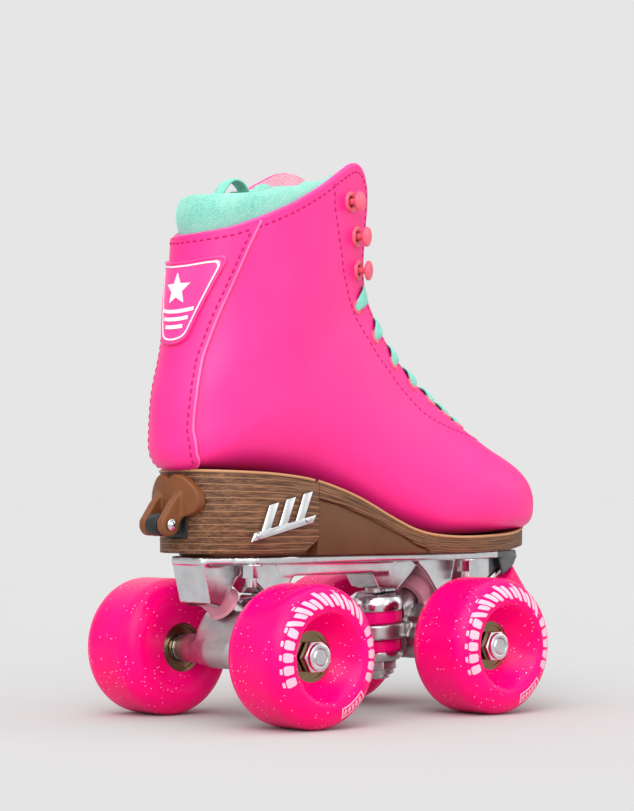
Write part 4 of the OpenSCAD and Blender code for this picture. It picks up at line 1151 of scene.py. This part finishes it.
# Pale top layer round the edge of the wood, as a thin rounded strip, and the screw heads on the lever's pin.
SOLE_SIDE = [(-70.5, 30), (-55, 30), (-40, 29.7), (-20, 29.5), (0, 31), (15, 34), (30, 36), (45, 36.5), (60, 35.5),
             (75, 32.5), (88, 27.8), (99.5, 20.8), (108, 11.5), (111.5, 0)]
BLOCK_FRONT = -42.5


def through(points, n=6):
    """A smooth line through points, with n steps to each span."""
    p = np.array(points, float)
    p = np.concatenate([p[:1], p, p[-1:]])
    return np.array([between(*p[i:i + 4], t) for i in range(len(points) - 1) for t in np.arange(n) / n] + [p[-1]])


top_line = through(WOOD_TOP)
side_line = through(SOLE_SIDE)
heel_arc = np.array([(-70.5 + 30 * math.cos(a), 30 * math.sin(a)) for a in np.linspace(math.pi, math.pi / 2, 60)[:-1]])
half_line = np.concatenate([heel_arc, side_line])
plan = np.concatenate([half_line[::-1] * [1, -1], half_line[1:]])
plan[:, 1] -= 0.35 * np.sign(plan[:, 1])
path = np.stack([plan[:, 0], plan[:, 1], np.interp(plan[:, 0], top_line[:, 0], top_line[:, 1])], -1)
heel_part = path[:, 0] < BLOCK_FRONT - 0.3
right_half = np.arange(len(path)) < len(path) // 2
for name, body, chosen, lift in (
        ("heel_edge_strip", "heel_carriage", [heel_part], 0),
        ("toe_edge_strip", "chassis", [~heel_part & right_half, ~heel_part & ~right_half], 0.1)):
    strip = Parts()
    for mask in chosen:
        line = resample(path[mask], 1.5) + [0, 0, lift]
        bead(strip, line, np.tile([0, 0, 1], (len(line), 1)), 0.75, 0.9)
    strip.piece(name, PALE_EDGE, "stacked_wood", body)
heads, slot_shade = Parts(), Parts()
low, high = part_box("lever_pin")
for sign in (1, -1):
    end = Vector(((low.x + high.x) / 2, high.y if sign > 0 else low.y, (low.z + high.z) / 2)) / MM
    place = place_on(end, (0, sign, 0))
    heads.lathe([(0, -1.2), (2.3, -1.2), (2.5, -0.5), (2.3, 0.1), (1.5, 0.55), (0, 0.75)], place, 32)
    # Dark bars on each screw head's cross: painted shade in its slots.
    for turn in (0.6, 0.6 + math.pi / 2):
        c, s = math.cos(turn), math.sin(turn)
        slot_shade.tube([[place((a * share * c - b * s, a * share * s + b * c, h))
                     for a, b in ((-1.3, -0.22), (1.3, -0.22), (1.3, 0.22), (-1.3, 0.22))]
                    for share, h in ((1, 0.2), (1, 0.6), (0.8, 0.84))])
heads.piece("pin_heads", STEEL, "plated_steel", "heel_carriage", smooth=40)
slot_shade.piece("pin_slot_painted_shade", HOLE_PAINTED_SHADE, "plated_steel", "heel_carriage", smooth=40)


# ---- Floor and light ----

FLOOR_HALF = 30
floor_mesh = bpy.data.meshes.new("floor")
floor_mesh.from_pydata([(x * FLOOR_HALF, y * FLOOR_HALF, 0) for x, y in ((-1, -1), (1, -1), (1, 1), (-1, 1))], [],
                       [(0, 1, 2, 3)])
floor = bpy.data.objects.new("floor", floor_mesh)
floor_mesh.materials.append(Shader("studio_floor", (0.493, 0.493, 0.493), 0.9, Specular_IOR_Level=0).mat)
link(floor)

# A studio round the object: soft boxes as direction, sharpness and brightness, over an even level of light.
BOXES = (((-0.75, -0.6, 0.75), 12, 7), ((0.9, -0.5, 0.35), 18, 2.2), ((-0.9, 0.35, 0.4), 18, 1.6),
         ((0, 0, 1), 6, 2.4), ((0.3, 0.9, 0.5), 8, 0.8),
         ((-0.68, -0.73, 0.12), 40, 2.6), ((0.15, -1, 0.12), 14, 2.6))
EVEN_LIGHT, BACKDROP = 0.5, 0.791

world = bpy.data.worlds.new("studio")
bpy.context.scene.world = world
world.use_nodes = True
studio = Nodes(world.node_tree)
studio.tree.nodes.clear()
coords = studio.node("ShaderNodeTexCoord").outputs["Generated"]
total = 0
for direction, sharp, power in BOXES:
    towards = {0: coords, 1: Vector(direction).normalized()}
    dot = studio.node("ShaderNodeVectorMath", towards, operation="DOT_PRODUCT").outputs["Value"]
    total = studio.plus(total, studio.times(studio.maths("POWER", studio.maths("MAXIMUM", dot), sharp), power))
light = studio.node("ShaderNodeBackground", {"Strength": studio.plus(total, EVEN_LIGHT)}).outputs[0]
plain = studio.node("ShaderNodeBackground", {"Color": (BACKDROP, BACKDROP, BACKDROP, 1)}).outputs[0]
seen = studio.node("ShaderNodeLightPath").outputs["Is Camera Ray"]
pick = studio.node("ShaderNodeMixShader", {0: seen, 1: light, 2: plain}).outputs[0]
studio.node("ShaderNodeOutputWorld", {0: pick})
